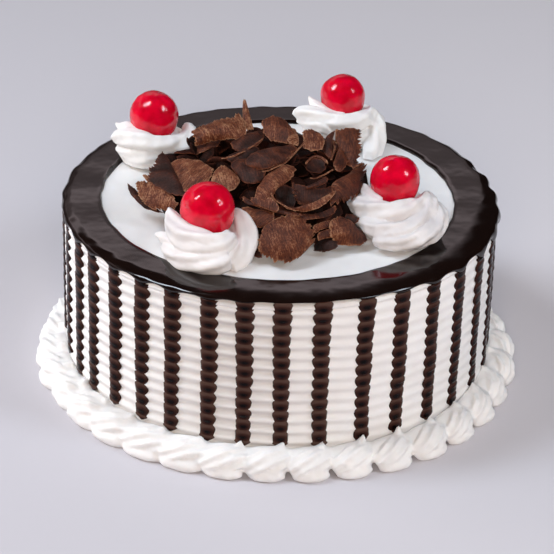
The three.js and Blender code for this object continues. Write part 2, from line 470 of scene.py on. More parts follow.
@dataclass(frozen=True)
class GlossGanache(Finish):
    """Dark chocolate ganache, poured warm: near black, mirror smooth, with a slow ripple from flowing.

    Ripple is the length in millimetres of the waves that the pour left.
    """

    name: str = "gloss_ganache"
    dark: int = 0x0E0706
    warm: int = 0x1A0E0A
    ripple: float = 7.0
    roughness: float = 0.1
    shine: float = 0.5

    def material(self) -> bpy.types.Material:
        """Builds the finish: two near blacks in clouds under a hard gloss, rippled by a slow bump.

        Returns:
            The material.
        """
        material, tree, main = self.begin(
            Roughness=self.roughness, IOR=1.48, Specular_IOR_Level=self.shine)
        place_at = add_node(tree, "ShaderNodeTexCoord").outputs["Object"]
        clouds = add_node(tree, "ShaderNodeTexNoise", inputs={
            "Vector": place_at, "Scale": per_metre(2.0 * self.ripple), "Detail": 2.0})
        colour = add_node(tree, "ShaderNodeMix", {"data_type": "RGBA"}, {
            0: clouds.outputs[0], 6: linear(self.dark), 7: linear(self.warm)})
        flow = add_node(tree, "ShaderNodeTexNoise", inputs={
            "Vector": place_at, "Scale": per_metre(self.ripple), "Detail": 1.0})
        bump = add_node(tree, "ShaderNodeBump", inputs={
            "Strength": 0.4, "Distance": 0.16 * MM, "Height": flow.outputs[0]})
        tree.links.new(colour.outputs[2], main.inputs["Base Color"])
        tree.links.new(bump.outputs[0], main.inputs["Normal"])
        return material


@dataclass(frozen=True)
class ThinGanache(Finish):
    """Ganache run thin down the side: a black eye low in each bead, on the side away from the light, and
    brown round it. The eye is painted shade; the brown is partly the cream glowing through and partly
    painted reflection.

    Cloud is the length in millimetres over which the run varies.
    """

    name: str = "thin_ganache"
    # thick is the painted eye's black; middle and thin are browns, partly the cream glowing through and
    # partly painted reflection
    thick: int = 0x080303
    middle: int = 0x3A211B
    thin: int = 0x503B33
    cloud: float = 4.0

    def material(self) -> bpy.types.Material:
        """Builds the finish: each bead's painted eye and painted reflection pick the brown, under a wet gloss
        with a slow ripple.

        Returns:
            The material. It reads the mesh's value deep, 0 to 1, which is 1 in each bead's painted dark
            eye, less a little where the clouds are.
        """
        material, tree, main = self.begin(Roughness=0.14, IOR=1.48, Specular_IOR_Level=0.09)
        deep = add_node(tree, "ShaderNodeAttribute", {"attribute_name": "deep"}).outputs["Fac"]
        place_at = add_node(tree, "ShaderNodeTexCoord").outputs["Object"]
        clouds = add_node(tree, "ShaderNodeTexNoise", inputs={
            "Vector": place_at, "Scale": per_metre(self.cloud), "Detail": 2.0})
        level = add_node(tree, "ShaderNodeMath", {"operation": "MULTIPLY_ADD"}, {
            0: clouds.outputs[0], 1: -0.15, 2: deep})
        body = add_node(tree, "ShaderNodeValToRGB", inputs={0: level.outputs[0]})
        stops = body.color_ramp.elements
        stops[0].position, stops[0].color = 0.0, linear(self.thin)
        stops[1].position, stops[1].color = 0.86, linear(self.thick)
        stops.new(0.3).color = linear(self.middle)
        bump = add_node(tree, "ShaderNodeBump", inputs={
            "Strength": 0.3, "Distance": 0.1 * MM, "Height": clouds.outputs[0]})
        tree.links.new(body.outputs[0], main.inputs["Base Color"])
        tree.links.new(bump.outputs[0], main.inputs["Normal"])
        return material


@dataclass(frozen=True)
class GlazedCherry(Finish):
    """A candied cherry in syrup: deep clear red skin under a wet glaze, with faint darker mottling.

    Mottle and syrup are the lengths in millimetres of the skin's mottling and of the glaze's runs.
    """

    name: str = "glazed_cherry"
    bright: int = 0xF00636
    deep: int = 0xA60014
    mottle: float = 6.0
    syrup: float = 2.0

    def material(self) -> bpy.types.Material:
        """Builds the finish: two reds in soft mottling, light that sinks in a little, and a wet coat.

        Returns:
            The material.
        """
        material, tree, main = self.begin(
            Roughness=0.22,
            IOR=1.45,
            Subsurface_Weight=0.5,
            Subsurface_Radius=(1.0, 0.12, 0.12),
            Subsurface_Scale=5.0 * MM,
            Coat_Weight=1.0,
            Coat_Roughness=0.02,
            Coat_IOR=1.46,
            Specular_IOR_Level=0.1,
        )
        place_at = add_node(tree, "ShaderNodeTexCoord").outputs["Object"]
        mottling = add_node(tree, "ShaderNodeTexNoise", inputs={
            "Vector": place_at, "Scale": per_metre(self.mottle), "Detail": 3.0})
        depth = add_node(tree, "ShaderNodeMapRange", inputs={
            "Value": mottling.outputs[0], "From Min": 0.15, "From Max": 0.85})
        colour = add_node(tree, "ShaderNodeMix", {"data_type": "RGBA"}, {
            0: depth.outputs[0], 6: linear(self.bright), 7: linear(self.deep)})
        bump = add_node(tree, "ShaderNodeBump", inputs={
            "Strength": 0.2, "Distance": 0.15 * MM, "Height": mottling.outputs[0]})
        glaze = add_node(tree, "ShaderNodeTexNoise", inputs={
            "Vector": place_at, "Scale": per_metre(self.syrup), "Detail": 2.0})
        runs = add_node(tree, "ShaderNodeBump", inputs={
            "Strength": 0.5, "Distance": 0.35 * MM, "Height": glaze.outputs[0]})
        tree.links.new(colour.outputs[2], main.inputs["Base Color"])
        tree.links.new(bump.outputs[0], main.inputs["Normal"])
        tree.links.new(runs.outputs[0], main.inputs["Coat Normal"])
        return material


@dataclass(frozen=True)
class ShavedChocolate(Finish):
    """Dark chocolate planed from a block: satin, with scraper lines along each shaving and pale rims that are
    partly torn edges and partly painted highlight.

    The five colours run from the gaps' black, which is painted shade, to a rim's tan. Mottle is the size in
    millimetres of the pores, streak the length of a scraper line and scrape its width, drawn about twice as
    wide as it is, to show; porous and scraped say how strongly each of them shows. The value
    torn_rim_and_highlight_gain is how much lighter a rim is, partly the torn edge and partly painted
    highlight.
    """

    name: str = "shaved_chocolate"
    deep: int = 0x120A07
    dark: int = 0x371E18
    brown: int = 0x623422
    light: int = 0x75432D
    tan: int = 0x9C7154
    mottle: float = 0.9
    streak: float = 3.2
    scrape: float = 0.4
    porous: float = 1.15
    scraped: float = 1.45
    shine: float = 0.15
    torn_rim_and_highlight_gain: float = 0.28

    def material(self) -> bpy.types.Material:
        """Builds the finish from each shaving's shade, its pale rim, which is partly painted highlight, and
        its scraper lines.

        Returns:
            The material. It reads three of the mesh's values: shade, how light the shaving is; rim, 1 on its
            edges; and along, the millimetres across its scraper lines.
        """
        material, tree, main = self.begin(IOR=1.46, Specular_IOR_Level=self.shine)
        shade, rim, along = (
            add_node(tree, "ShaderNodeAttribute", {"attribute_name": key}).outputs["Fac"]
            for key in ("shade", "rim", "along"))
        place_at = add_node(tree, "ShaderNodeTexCoord").outputs["Object"]
        mottle = add_node(tree, "ShaderNodeTexNoise", inputs={
            "Vector": place_at, "Scale": per_metre(self.mottle), "Detail": 4.0, "Roughness": 0.75})
        scrape = add_node(tree, "ShaderNodeMath", {"operation": "MULTIPLY"}, {
            0: along, 1: MM * self.streak / self.scrape})
        streaks = add_node(tree, "ShaderNodeTexNoise", {"noise_dimensions": "4D"}, {
            "Vector": place_at, "W": scrape.outputs[0], "Scale": per_metre(self.streak), "Detail": 3.0,
            "Roughness": 0.65})
        shaded = add_node(tree, "ShaderNodeMath", {"operation": "MULTIPLY_ADD"}, {0: shade, 1: 0.8, 2: 0.15})
        mottled = add_node(tree, "ShaderNodeMath", {"operation": "MULTIPLY_ADD"}, {
            0: mottle.outputs[0], 1: self.porous, 2: -0.5 * (self.porous + self.scraped)})
        worn = add_node(tree, "ShaderNodeMath", {"operation": "MULTIPLY_ADD"}, {
            0: streaks.outputs[0], 1: self.scraped, 2: mottled.outputs[0]})
        strength = add_node(tree, "ShaderNodeMath", {"operation": "MULTIPLY_ADD"}, {0: shade, 1: 1.0, 2: 0.2})
        streaked = add_node(tree, "ShaderNodeMath", {"operation": "MULTIPLY_ADD"}, {
            0: worn.outputs[0], 1: strength.outputs[0], 2: shaded.outputs[0]})
        # the rims are lightened, partly as torn edges and partly as painted highlight where an edge catches
        # the light
        level = add_node(tree, "ShaderNodeMath", {"operation": "MULTIPLY_ADD"}, {
            0: rim, 1: self.torn_rim_and_highlight_gain, 2: streaked.outputs[0]})
        body = add_node(tree, "ShaderNodeValToRGB", inputs={0: level.outputs[0]})
        stops = body.color_ramp.elements
        stops[0].position, stops[0].color = 0.15, linear(self.deep)
        stops[1].position, stops[1].color = 1.0, linear(self.tan)
        for position, colour in ((0.43, self.dark), (0.71, self.brown), (0.81, self.light)):
            stops.new(position).color = linear(colour)
        height = add_node(tree, "ShaderNodeMath", {"operation": "MULTIPLY_ADD"}, {
            0: streaks.outputs[0], 1: 1.2, 2: mottle.outputs[0]})
        bump = add_node(tree, "ShaderNodeBump", inputs={
            "Strength": 0.75, "Distance": 0.4 * MM, "Height": height.outputs[0]})
        rough = add_node(tree, "ShaderNodeMapRange", inputs={
            "Value": mottle.outputs[0], "To Min": 0.3, "To Max": 0.58})
        tree.links.new(body.outputs[0], main.inputs["Base Color"])
        tree.links.new(rough.outputs[0], main.inputs["Roughness"])
        tree.links.new(bump.outputs[0], main.inputs["Normal"])
        return material


# ---------------------------------------------------------------------------
# comb and lines: what the cream and the ganache both follow
# ---------------------------------------------------------------------------
@dataclass(frozen=True)
class Turning:
    """A size that changes round the cake: values at degrees from the front, towards the right.

    Between two of the degrees the value runs straight from the one to the other.
    """

    degrees: tuple[float, ...]
    values: tuple[float, ...]

    def at(self, angle: Array) -> Array:
        """Reads the size at angles from +X."""
        from_front = np.mod(np.degrees(angle) + 270.0, 360.0) - 180.0
        return np.interp(from_front, self.degrees, self.values)


@dataclass(frozen=True)
class Comb:
    """The comb's marks round the side: rows of round valleys between crests.

    Valley is where the deepest place lies between two crests, as a share of the way down. Offset is how far
    the rows are shifted and depth how deep they are, in millimetres; both drift round the cake, as the comb
    did in the hand. Tone is how strongly painted shade greys the valleys, and mark and shade_width say
    where that shade lies, as shares again.
    """

    valley: float = 0.58
    shade_place: float = 0.34
    shade_width: float = 0.24
    shiver: float = 0.1
    offset: Turning = Turning(
        (-180, -46, -36, 12, 23, 33, 44, 80, 180), (4.3, 4.4, 4.4, 3.7, 2.45, 2.35, 2.2, 1.85, 4.3))
    depth: Turning = Turning(
        (-180, -60, -30, -8, 6, 20, 32, 60, 180), (1.2, 0.95, 1.1, 1.3, 1.3, 0.6, 0.45, 0.48, 1.2))
    tone: Turning = Turning(
        (-180, -60, -30, -22, -12, -4, 8, 20, 40, 180),
        (0.3, 0.3, 0.25, 0.35, 0.78, 0.8, 0.3, 0.16, 0.0, 0.3))
    tremor: Swell = Swell(9.0, 6)

    def phase(self, angle: Array, height: Array) -> Array:
        """Finds how far down its valley a place is.

        Args:
            angle: Angles about the cake's axis.
            height: Heights above the foot.

        Returns:
            0 at the crest above, 1 at the crest below: the height below the comb's top, shifted by the
            offset and a slight tremor, in pitches without their whole number.
        """
        ring = np.stack([RING * np.cos(angle), RING * np.sin(angle), 0.15 * height], axis=-1)
        drift = self.offset.at(angle) + self.shiver * self.tremor.at(ring)
        return np.mod((COMB_TOP - height + drift) / COMB_PITCH, 1.0)

    def radius(self, angle: Array, height: Array) -> Array:
        """The side's radius: the crest less the comb's depth times how far in the valley is.

        Args:
            angle: Angles about the cake's axis.
            height: Heights above the foot.

        Returns:
            Radii in millimetres: in from each crest as half a cosine wave to the deepest place, and out to
            the next crest as another.
        """
        t = self.phase(angle, height)
        across = np.where(t < self.valley, t / self.valley, (1.0 - t) / (1.0 - self.valley))
        return CREST_RADIUS - self.depth.at(angle) * (0.5 - 0.5 * np.cos(math.pi * across))

    def painted_groove_shade(self, angle: Array, height: Array) -> Array:
        """How much painted shade greys the cream: a bell about its place in each of the comb's valleys."""
        away = (self.phase(angle, height) - self.shade_place) / self.shade_width
        return self.tone.at(angle) * np.exp(-(away**2))


@dataclass(frozen=True)
class LineSpacing:
    """Where the ganache lines run down the side. They were run by eye, so the spacing drifts."""

    degrees: tuple[float, ...] = (
        -74.6, -65, -56.4, -46.6, -36.8, -27.6, -17.3, -8, 1.5, 11.6, 23, 33.1, 43.6, 54.2, 65.4, 76.9, 87.5)
    count: int = 36

    def angles(self) -> Array:
        """The lines' angles from +X: those in front as listed from -Y, those behind evenly spread."""
        behind = np.linspace(self.degrees[-1], self.degrees[0] + 360.0, self.count - len(self.degrees) + 2)
        return np.radians(np.concatenate([self.degrees, behind[1:-1]]) - 90.0)


# ---------------------------------------------------------------------------
# cream body
# ---------------------------------------------------------------------------
@dataclass
class CreamBody:
    """The cream-covered cake: a flat foot, a combed side, a rounded rim and a spread top.

    Columns, top_rows, rim_rows and ledge_rows say how fine the mesh is: round the cake, across its top, over
    its rim and from one crest of the comb to the next. The rim curves in over rim_inset millimetres.
    """

    comb: Comb
    columns: int = 480
    top_rows: int = 44
    rim_rows: int = 9
    ledge_rows: int = 9
    rim_inset: float = 8.4
    rim_power: float = 1.6
    top_wave: float = 0.16
    top_ripple: float = 0.05
    side_wave: float = 0.0022
    spread: Swell = Swell(34.0, 11)
    ruffle: Swell = Swell(11.0, 12)

    def heights(self) -> Array:
        """Row heights down the side, from the rim's lower end to just above the foot."""
        rows = int((COMB_TOP - 1.0) / COMB_PITCH * self.ledge_rows)
        return np.linspace(COMB_TOP, 0.6, rows)

    def shape(self) -> Shape:
        """Works out the skin: rows of rings from the top's middle, over the rim, down to the foot.

        Returns:
            The closed shape, with how much painted shade greys the cream as the value groove. Over the
            rim the radius grows as a sine and the height falls as a power of one less a cosine. The top waves
            by about 0.2 mm where the spatula passed, and the side swells by about 0.2 in a hundred.
        """
        angle = np.linspace(0.0, TAU, self.columns, endpoint=False)
        top_radii = np.linspace(0.5, CREST_RADIUS - self.rim_inset, self.top_rows)
        turn = np.linspace(0.08, 0.5 * math.pi, self.rim_rows)
        rim_drop = CAKE_TOP - COMB_TOP
        radii = [np.broadcast_to(r, angle.shape) for r in top_radii]
        levels = [np.full_like(angle, CAKE_TOP)] * len(top_radii)
        radii += [CREST_RADIUS - self.rim_inset * (1.0 - math.sin(t)) * np.ones_like(angle) for t in turn]
        falls = [rim_drop * (1.0 - math.cos(t)) ** self.rim_power for t in turn]
        levels += [np.full_like(angle, CAKE_TOP - fall) for fall in falls]
        for height in self.heights():
            level = np.full_like(angle, height)
            radii.append(self.comb.radius(angle, level))
            levels.append(level)
        for inset, height in ((1.6, 0.15), (2.4, 0.0), (50.0, 0.0)):
            radii.append(np.full_like(angle, CREST_RADIUS - inset))
            levels.append(np.full_like(angle, height))
        radius, level = np.stack(radii), np.stack(levels)
        rings = np.stack([radius * np.cos(angle), radius * np.sin(angle), level], axis=-1)
        on_top = smooth(COMB_TOP + 1.0, CAKE_TOP, level)
        wave = self.top_wave * self.spread.at(rings) + self.top_ripple * self.ruffle.at(rings)
        rings[..., 2] += on_top * wave
        side = (1.0 - on_top) * smooth(0.0, 3.0, level)
        swell = 1.0 + side * self.side_wave * self.spread.at(rings)
        rings[..., :2] *= swell[..., None]
        rings[..., 0] *= WIDTH
        # painted shade in the comb's valleys, none on the top
        painted_groove_shade = np.stack([self.comb.painted_groove_shade(angle, height) for height in level]) * (1.0 - on_top)
        return tube(rings[::-1], {"painted_groove_shade": painted_groove_shade[::-1]})

    def build(self, finish: bpy.types.Material) -> None:
        """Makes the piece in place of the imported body."""
        place("cream_body", self.shape(), finish, Slot.CREAM, "cake")


# ---------------------------------------------------------------------------
# ganache
# ---------------------------------------------------------------------------
@dataclass
class Ganache:
    """The ganache poured round the top's edge and run down the side in beaded lines.

    The collar: flat_edge is where its flat top ends, lip_bottom how low its lip hangs between the lines and
    line_sag how much lower where a line leaves it, reach how far out it stands, rise how much its top lifts
    and nose how round its lip is. The lines: foot is the height where they end, pinch the power of the sine
    that gives a bead's width, spare how much narrower the necks between the beads are, and eye how long a
    bead's painted dark eye is and eye_place where it lies, as shares of the comb's pitch. Line_half is a
    neck's half width, line_reach how wide the lip sags at a line, edge_round how round the collar's inner
    edge is and under how deep the lines' backs lie in the cream. Where no unit is given, it is the
    millimetre.
    """

    comb: Comb
    spacing: LineSpacing
    columns: int = 1440
    flat_edge: Turning = Turning(
        (-180, -120, -80, -45, -25, 0, 30, 60, 82, 95, 107, 130, 180),
        (97, 96, 94.8, 93.7, 90.5, 87.8, 88, 87, 88, 92.5, 95.5, 96.5, 97))
    lip_bottom: Turning = Turning(
        (-180, -110, -66, -50, -35, -17, 0, 13, 27, 38, 50, 57, 70, 90, 130, 180),
        (80, 80.4, 81.3, 82, 81.7, 81.9, 82.9, 83.1, 82.6, 81.9, 81.2, 82, 80, 79.5, 80, 80))
    line_sag: Turning = Turning(
        (-180, -66, -40, -17, 0, 13, 25, 35, 45, 55, 65, 77, 90, 120, 180),
        (1.9, 2.3, 2.0, 1.4, 0.5, 0.4, 1.3, 1.7, 2.5, 3.3, 3.7, 4.2, 4.0, 2.5, 1.7))
    reach: Turning = Turning(
        (-180, -120, -90, -60, -30, 0, 30, 60, 90, 130, 180),
        (100.2, 100.2, 99.6, 99.2, 98.8, 98.5, 98.8, 99.4, 100.0, 100.4, 100.2))
    rise: Turning = Turning((-180, -60, -20, 20, 60, 180), (0.0, 0.0, 0.3, 0.3, 0.0, 0.0))
    nose: float = 1.6
    line_rows: int = 12
    line_columns: int = 15
    foot: Turning = Turning(
        (-180, -84, -76, -64, -46, -7, 12, 40, 60, 180), (12, 16, 12.5, 10.4, 10.8, 9.8, 9.0, 10.2, 10, 12))
    pinch: Turning = Turning((-180, -70, -45, -15, 180), (0.6, 0.38, 0.42, 0.6, 0.6))
    spare: Turning = Turning((-180, -75, -35, -10, 180), (0.0, 0.4, 0.3, 0.0, 0.0))
    eye: Turning = Turning(
        (-180, -70, -35, -15, 15, 45, 75, 180), (0.5, 0.5, 0.42, 0.33, 0.33, 0.5, 0.7, 0.5))
    eye_place: float = 0.66
    line_reach: float = 4.4
    line_half: float = 2.5
    edge_round: float = 0.7
    under: float = 0.7
    pour: Swell = Swell(30.0, 21)
    drip: Swell = Swell(15.0, 22)

    def near_line(self, angle: Array) -> Array:
        """How near a line is: 1 on its middle, falling as a bell over the line's reach."""
        away = np.abs(np.angle(np.exp(1j * (angle[:, None] - self.spacing.angles()[None, :])))).min(axis=1)
        return np.exp(-((away * CREST_RADIUS / self.line_reach) ** 2))

    def lip(self, angle: Array) -> Array:
        """The height of the lip's lower edge, which sags where each line leaves it."""
        return self.lip_bottom.at(angle) - self.line_sag.at(angle) * self.near_line(angle)

    def collar(self) -> Shape:
        """Works out the collar as one closed section carried round the rim.

        Returns:
            The ring. Going round the section: up the rounded inner edge, along the flat top, down the
            outer slope as a power curve, round the nose as a half ellipse drawn in above its middle
            (sine and cosine to the 1.4), and back underneath.
        """
        angle = np.linspace(0.0, TAU, self.columns, endpoint=False)
        ring = np.stack([RING * np.cos(angle), RING * np.sin(angle), np.zeros_like(angle)], axis=-1)
        near, low = self.near_line(angle), self.lip(angle)
        top = COLLAR_TOP + self.rise.at(angle) + 0.05 * self.pour.at(ring)
        inner = COLLAR_INNER + 0.22 * self.pour.at(1.7 * ring) + 0.1 * self.drip.at(ring)
        bulge = np.clip(self.line_sag.at(angle) * 0.3, 0.25, 0.9)
        behind = smooth(-0.5, 0.3, np.sin(angle))
        edge = self.reach.at(angle) + bulge * (near - 0.4) + (0.15 + 0.25 * behind) * self.drip.at(ring)
        flat = self.flat_edge.at(angle) + 0.5 * self.drip.at(1.3 * ring)
        shoulder = top - 0.15 - 0.16 * (top - self.lip_bottom.at(angle) + 0.4 * self.line_sag.at(angle))
        inner = inner - 1.2 * np.cos(angle) - 0.5 * np.clip(-np.sin(angle), 0.0, 1.0)
        bend = self.edge_round
        rows: list[tuple[Array, Array]] = []
        # up the rounded inner edge, then along the flat top
        for turn in np.linspace(-0.5, 0.5, 6) * math.pi:
            rows.append((inner + bend - bend * math.cos(turn), top - 0.85 + 0.85 * math.sin(turn)))
        for share in np.linspace(0.15, 1.0, 7):
            rows.append((inner + bend + (flat - inner - bend) * share, top))
        # down the outer slope, then round the nose
        for share in np.linspace(0.1, 1.0, 12):
            radius = flat + (edge - self.nose - flat) * share
            rows.append((radius, top + (shoulder - top) * share**1.7))
        shoulder = np.maximum(shoulder, low + 0.7)
        middle, half = 0.5 * (shoulder + low), 0.5 * (shoulder - low)
        for turn in np.linspace(0.46, -0.6, 19) * math.pi:
            out, up = math.cos(turn), math.sin(turn)
            if turn > 0.0:
                out, up = out**1.4, up**1.4
            rows.append((edge - self.nose + self.nose * out, middle + half * up))
        # and back underneath, sunk in the cream
        sunk = np.full_like(angle, CAKE_TOP - 0.5)
        rows.append((edge - 2.1, low + 0.9))
        rows.append((np.full_like(angle, 88.0), sunk))
        rows.append((inner + 3.0, sunk))
        section = np.stack([
            np.stack([WIDTH * r * np.cos(angle), r * np.sin(angle), z], axis=-1) for r, z in rows])
        count = len(section)
        faces = grid_faces(count + 1, self.columns, flip=True) % (count * self.columns)
        return Shape(section.reshape(-1, 3), [faces])

    def line(self, angle: float, draw: np.random.Generator) -> Shape:
        """Works out one line: a bead in every valley of the comb, pinched over the crests.

        Args:
            angle: The line's angle from +X.
            draw: The seeded source of its unevenness.

        Returns:
            The closed band, with how dark it is as the value deep. Its half width and bulge follow each
            valley as powers of a half sine wave, so that it is a row of round beads; its thickness falls to
            nothing at its sides as the square root of 1 - u^2; two points behind each row lie in the cream.
            Deep is a bell about each bead's dark eye, painted shade that lies low in it and on the side away
            from the light; the lighter brown round it is partly painted reflection.
        """
        at = np.array([angle])
        foot = float(self.foot.at(at)[0]) + draw.uniform(-0.5, 0.5)
        top = float(self.lip(at)[0]) + 0.7
        rows = int((top - foot) / COMB_PITCH * self.line_rows)
        height = np.linspace(foot, top, rows)
        t = self.comb.phase(np.full_like(height, angle), height)
        # each bead's bulge and width, a little different in every valley
        bead = np.sin(math.pi * t) ** 0.55
        wide = np.sin(math.pi * t**0.9) ** float(self.pinch.at(at)[0])
        ledge = np.floor((COMB_TOP - height) / COMB_PITCH).astype(int)
        jitter = draw.uniform(-0.15, 0.15, size=BEADS)[ledge % BEADS]
        # the half width, from the necks out to the beads, and wider towards the lip
        high = (height - foot) / (top - foot)
        spare = float(self.spare.at(at)[0])
        half = self.line_half - spare + 0.5 * high + (1.0 + 1.6 * spare + 0.5 * high + jitter) * wide
        half += 0.7 * np.exp(-(((height - foot - 2.2) / 1.7) ** 2))  # the drop that gathers at the foot
        end = smooth(-0.01, 0.045, high)
        half *= np.sqrt(end)
        # the whole line wanders a little from side to side
        side = 0.25 * np.sin(height / 17.0 + draw.uniform(0, TAU)) + 0.12 * np.sin(height / 5.0 + angle)
        u = np.linspace(-1.0, 1.0, self.line_columns)
        swell = (0.35 + (1.1 + jitter) * bead) * end**0.3
        arch = np.sqrt(np.clip(1.0 - u**2, 0.0, 1.0))[None, :]
        thickness = swell[:, None] * arch
        around = angle + (side[:, None] + half[:, None] * u[None, :]) / CREST_RADIUS
        level = np.broadcast_to(height[:, None], around.shape)
        comb = self.comb.radius(around, level)
        front = comb + arch * np.maximum(CREST_RADIUS - 0.6 - comb, 0.0) + thickness
        back = np.array([-4, 3])
        rings_radius = np.concatenate([front, comb[:, back] - self.under], axis=1)
        rings_around = np.concatenate([around, around[:, back]], axis=1)
        rings_level = np.concatenate([level, level[:, back]], axis=1)
        rings_x = WIDTH * rings_radius * np.cos(rings_around)
        rings = np.stack([rings_x, rings_radius * np.sin(rings_around), rings_level], axis=-1)
        # painted shade and reflection: the dark eye lies low in each bead, moved to the side away from the
        # light
        aside = (u + 0.4 * math.cos(angle))[None, :] / 0.85
        deep = np.exp(-(aside**2) - ((t[:, None] - self.eye_place) / self.eye.at(at)[0]) ** 2)
        return tube(rings, {"deep": np.concatenate([deep, deep[:, back]], axis=1)})

    def build(self, pool: bpy.types.Material, run: bpy.types.Material) -> None:
        """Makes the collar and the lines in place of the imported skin.

        Args:
            pool: The collar's finish.
            run: The lines' finish.
        """
        place("ganache_collar", self.collar(), pool, Slot.GANACHE, "ganache")
        draw = np.random.default_rng(31)
        lines = [self.line(float(angle), draw) for angle in self.spacing.angles()]
        place("ganache_lines", Shape.joined(lines), run, Slot.GANACHE, "ganache")


# ---------------------------------------------------------------------------
# camera, floor and light
# ---------------------------------------------------------------------------
@dataclass(frozen=True)
class StudioCamera:
    """A long lens that looks down at the cake from the front.

    Distance and height are the eye's place and sensor is the sensor's width, all in millimetres. Picture is
    how many pixels wide the picture is and focal_pixels the focal length in those pixels. Yaw, pitch and
    roll are degrees.
    """

    distance: float = 1045.9
    height: float = 618.0
    focal_pixels: float = 2552.7
    picture: int = 554
    sensor: float = 36.0
    yaw: float = -0.03
    pitch: float = 28.86
    roll: float = 1.68

    def axes(self) -> tuple[Vector, Vector, Vector]:
        """Works out the way that the camera faces.

        Returns:
            Its right, up and forward directions: forward from the yaw and the pitch, and the other two, which
            are square to it, turned by the roll.
        """
        yaw, pitch, roll = (math.radians(a) for a in (self.yaw, self.pitch, self.roll))
        forward = Vector((math.sin(yaw) * math.cos(pitch), math.cos(yaw) * math.cos(pitch), -math.sin(pitch)))
        level = forward.cross(Vector((0, 0, 1))).normalized()
        upright = level.cross(forward)
        right = level * math.cos(roll) + upright * math.sin(roll)
        up = upright * math.cos(roll) - level * math.sin(roll)
        return right, up, forward

    def sight(self, across: float, down: float) -> tuple[Array, Array]:
        """Finds the line of sight to a place in the picture.

        Args:
            across: Pixels from the picture's left edge.
            down: Pixels from its top edge.

        Returns:
            The eye's place in millimetres, and the line's direction: forward, plus right and less up by the
            pixels from the picture's middle over the focal length.
        """
        right, up, forward = self.axes()
        middle = self.picture / 2
        ray = forward + right * ((across - middle) / self.focal_pixels)
        ray = ray - up * ((down - middle) / self.focal_pixels)
        return np.array([0.0, -self.distance, self.height]), np.array(ray)

    def at_depth(self, across: float, down: float, depth: float) -> Array:
        """Finds the point on an upright plane, y = depth, that shows at a place in the picture.

        Args:
            across: Pixels from the picture's left edge.
            down: Pixels from its top edge.
            depth: The point's y in millimetres.

        Returns:
            The point in millimetres: the eye plus the ray times what brings it to that depth.
        """
        eye, ray = self.sight(across, down)
        return eye + ray * ((depth - eye[1]) / ray[1])

    def build(self) -> None:
        """Makes the camera and sets it as the scene's."""
        data = bpy.data.cameras.new("studio_camera")
        data.sensor_width = self.sensor
        data.lens = self.sensor * self.focal_pixels / self.picture
        data.clip_end = 20.0
        camera = bpy.data.objects.new("studio_camera", data)
        bpy.context.collection.objects.link(camera)
        right, up, forward = self.axes()
        turn = Matrix((right, up, -forward)).transposed().to_4x4()
        camera.matrix_world = Matrix.Translation(Vector((0.0, -self.distance, self.height)) * MM) @ turn
        bpy.context.scene.camera = camera


# ---------------------------------------------------------------------------
# rosettes, cherries and the shell border
# ---------------------------------------------------------------------------
@dataclass(frozen=True)
class Stroke:
    """One pull of the piping bag, drawn as it shows from the front.

    Each knot is pixels across, pixels down, the depth (y) in millimetres and the rope's radius.
    """

    knots: tuple[tuple[float, float, float, float], ...]

    def rope(self, camera: StudioCamera, nozzle: Nozzle) -> Shape:
        """Pipes the stroke in space."""
        rows = [[*camera.at_depth(across, down, depth), radius] for across, down, depth, radius in self.knots]
        return nozzle.rope(np.array(rows))


@dataclass
class Rosette:
    """A piped swirl that holds a cherry: a coiled foot, a core, and the strokes that show.

    Foot is the height that it stands on and rise how high it is piled, radius how far it spreads and
    thickness the coiled rope's radius, all in millimetres. Start is where the coil begins, in degrees from
    +X, and hand the way that it winds. Where dull is set, it is of a greyer copy of the cream, which is
    painted shade.
    """

    name: str
    centre: tuple[float, float]
    radius: float
    foot: float
    rise: float
    strokes: tuple[Stroke, ...]
    start: float
    seed: int
    painted_shade: bool = False
    hand: Hand = Hand.LEFT
    thickness: float = 4.9
    nozzle: Nozzle = Nozzle()
    turns: float = 1.75
    coil_knots: int = 26

    def coil(self) -> Array:
        """Works out the coil that the bag first lays down.

        Returns:
            Knots of a spiral that goes round one and three quarter times while it rises and draws in.
        """
        share = np.linspace(0.0, 1.0, self.coil_knots)
        turn = math.radians(self.start) + self.hand.value * share * self.turns * TAU
        draw = np.random.default_rng(self.seed)
        wobble = draw.uniform(-0.7, 0.7, self.coil_knots)
        radius = (self.radius - self.thickness) * (1.0 - 0.42 * share**1.4) + wobble
        height = self.foot + self.thickness * 0.8 + share**1.3 * (self.rise - 1.6 * self.thickness)
        thick = self.thickness * np.interp(share, [0, 0.06, 0.8, 1], [0.35, 1.0, 0.92, 0.5])
        x = self.centre[0] + radius * np.cos(turn)
        y = self.centre[1] + radius * np.sin(turn)
        return np.stack([x, y, height, thick], axis=-1)

    def core(self) -> Shape:
        """Works out the soft middle that fills the coil.

        Returns:
            A smooth upright rope that narrows into a low mound.
        """
        stem = np.array([
            [self.centre[0], self.centre[1], self.foot - 0.6, self.radius * 0.55],
            [self.centre[0], self.centre[1], self.foot + self.rise * 0.45, self.radius * 0.6],
            [self.centre[0], self.centre[1], self.foot + self.rise * 0.82, self.radius * 0.42]])
        return Nozzle(depth=0.0).rope(stem)

    def build(self, camera: StudioCamera, finish: bpy.types.Material) -> None:
        """Fuses the coil, the core and the strokes, and gives the skin its slight unevenness.

        Args:
            camera: The camera that the strokes are drawn for.
            finish: The cream.
        """
        parts = [self.core(), self.nozzle.rope(self.coil())]
        parts += [stroke.rope(camera, self.nozzle) for stroke in self.strokes]
        skin = rounded(self.name, Shape.joined(parts), 0.5, 2)
        points = skin.points
        points[:, 2] = np.maximum(points[:, 2], self.foot - 0.5)
        wave = 0.2 * Swell(8.0, self.seed).at(points) + 0.04 * Swell(2.8, self.seed + 100).at(points)
        points += wave[:, None] * (points - [*self.centre, self.foot]) / 20.0
        place(f"cream_{self.name}", skin, finish, Slot.CREAM, self.name)


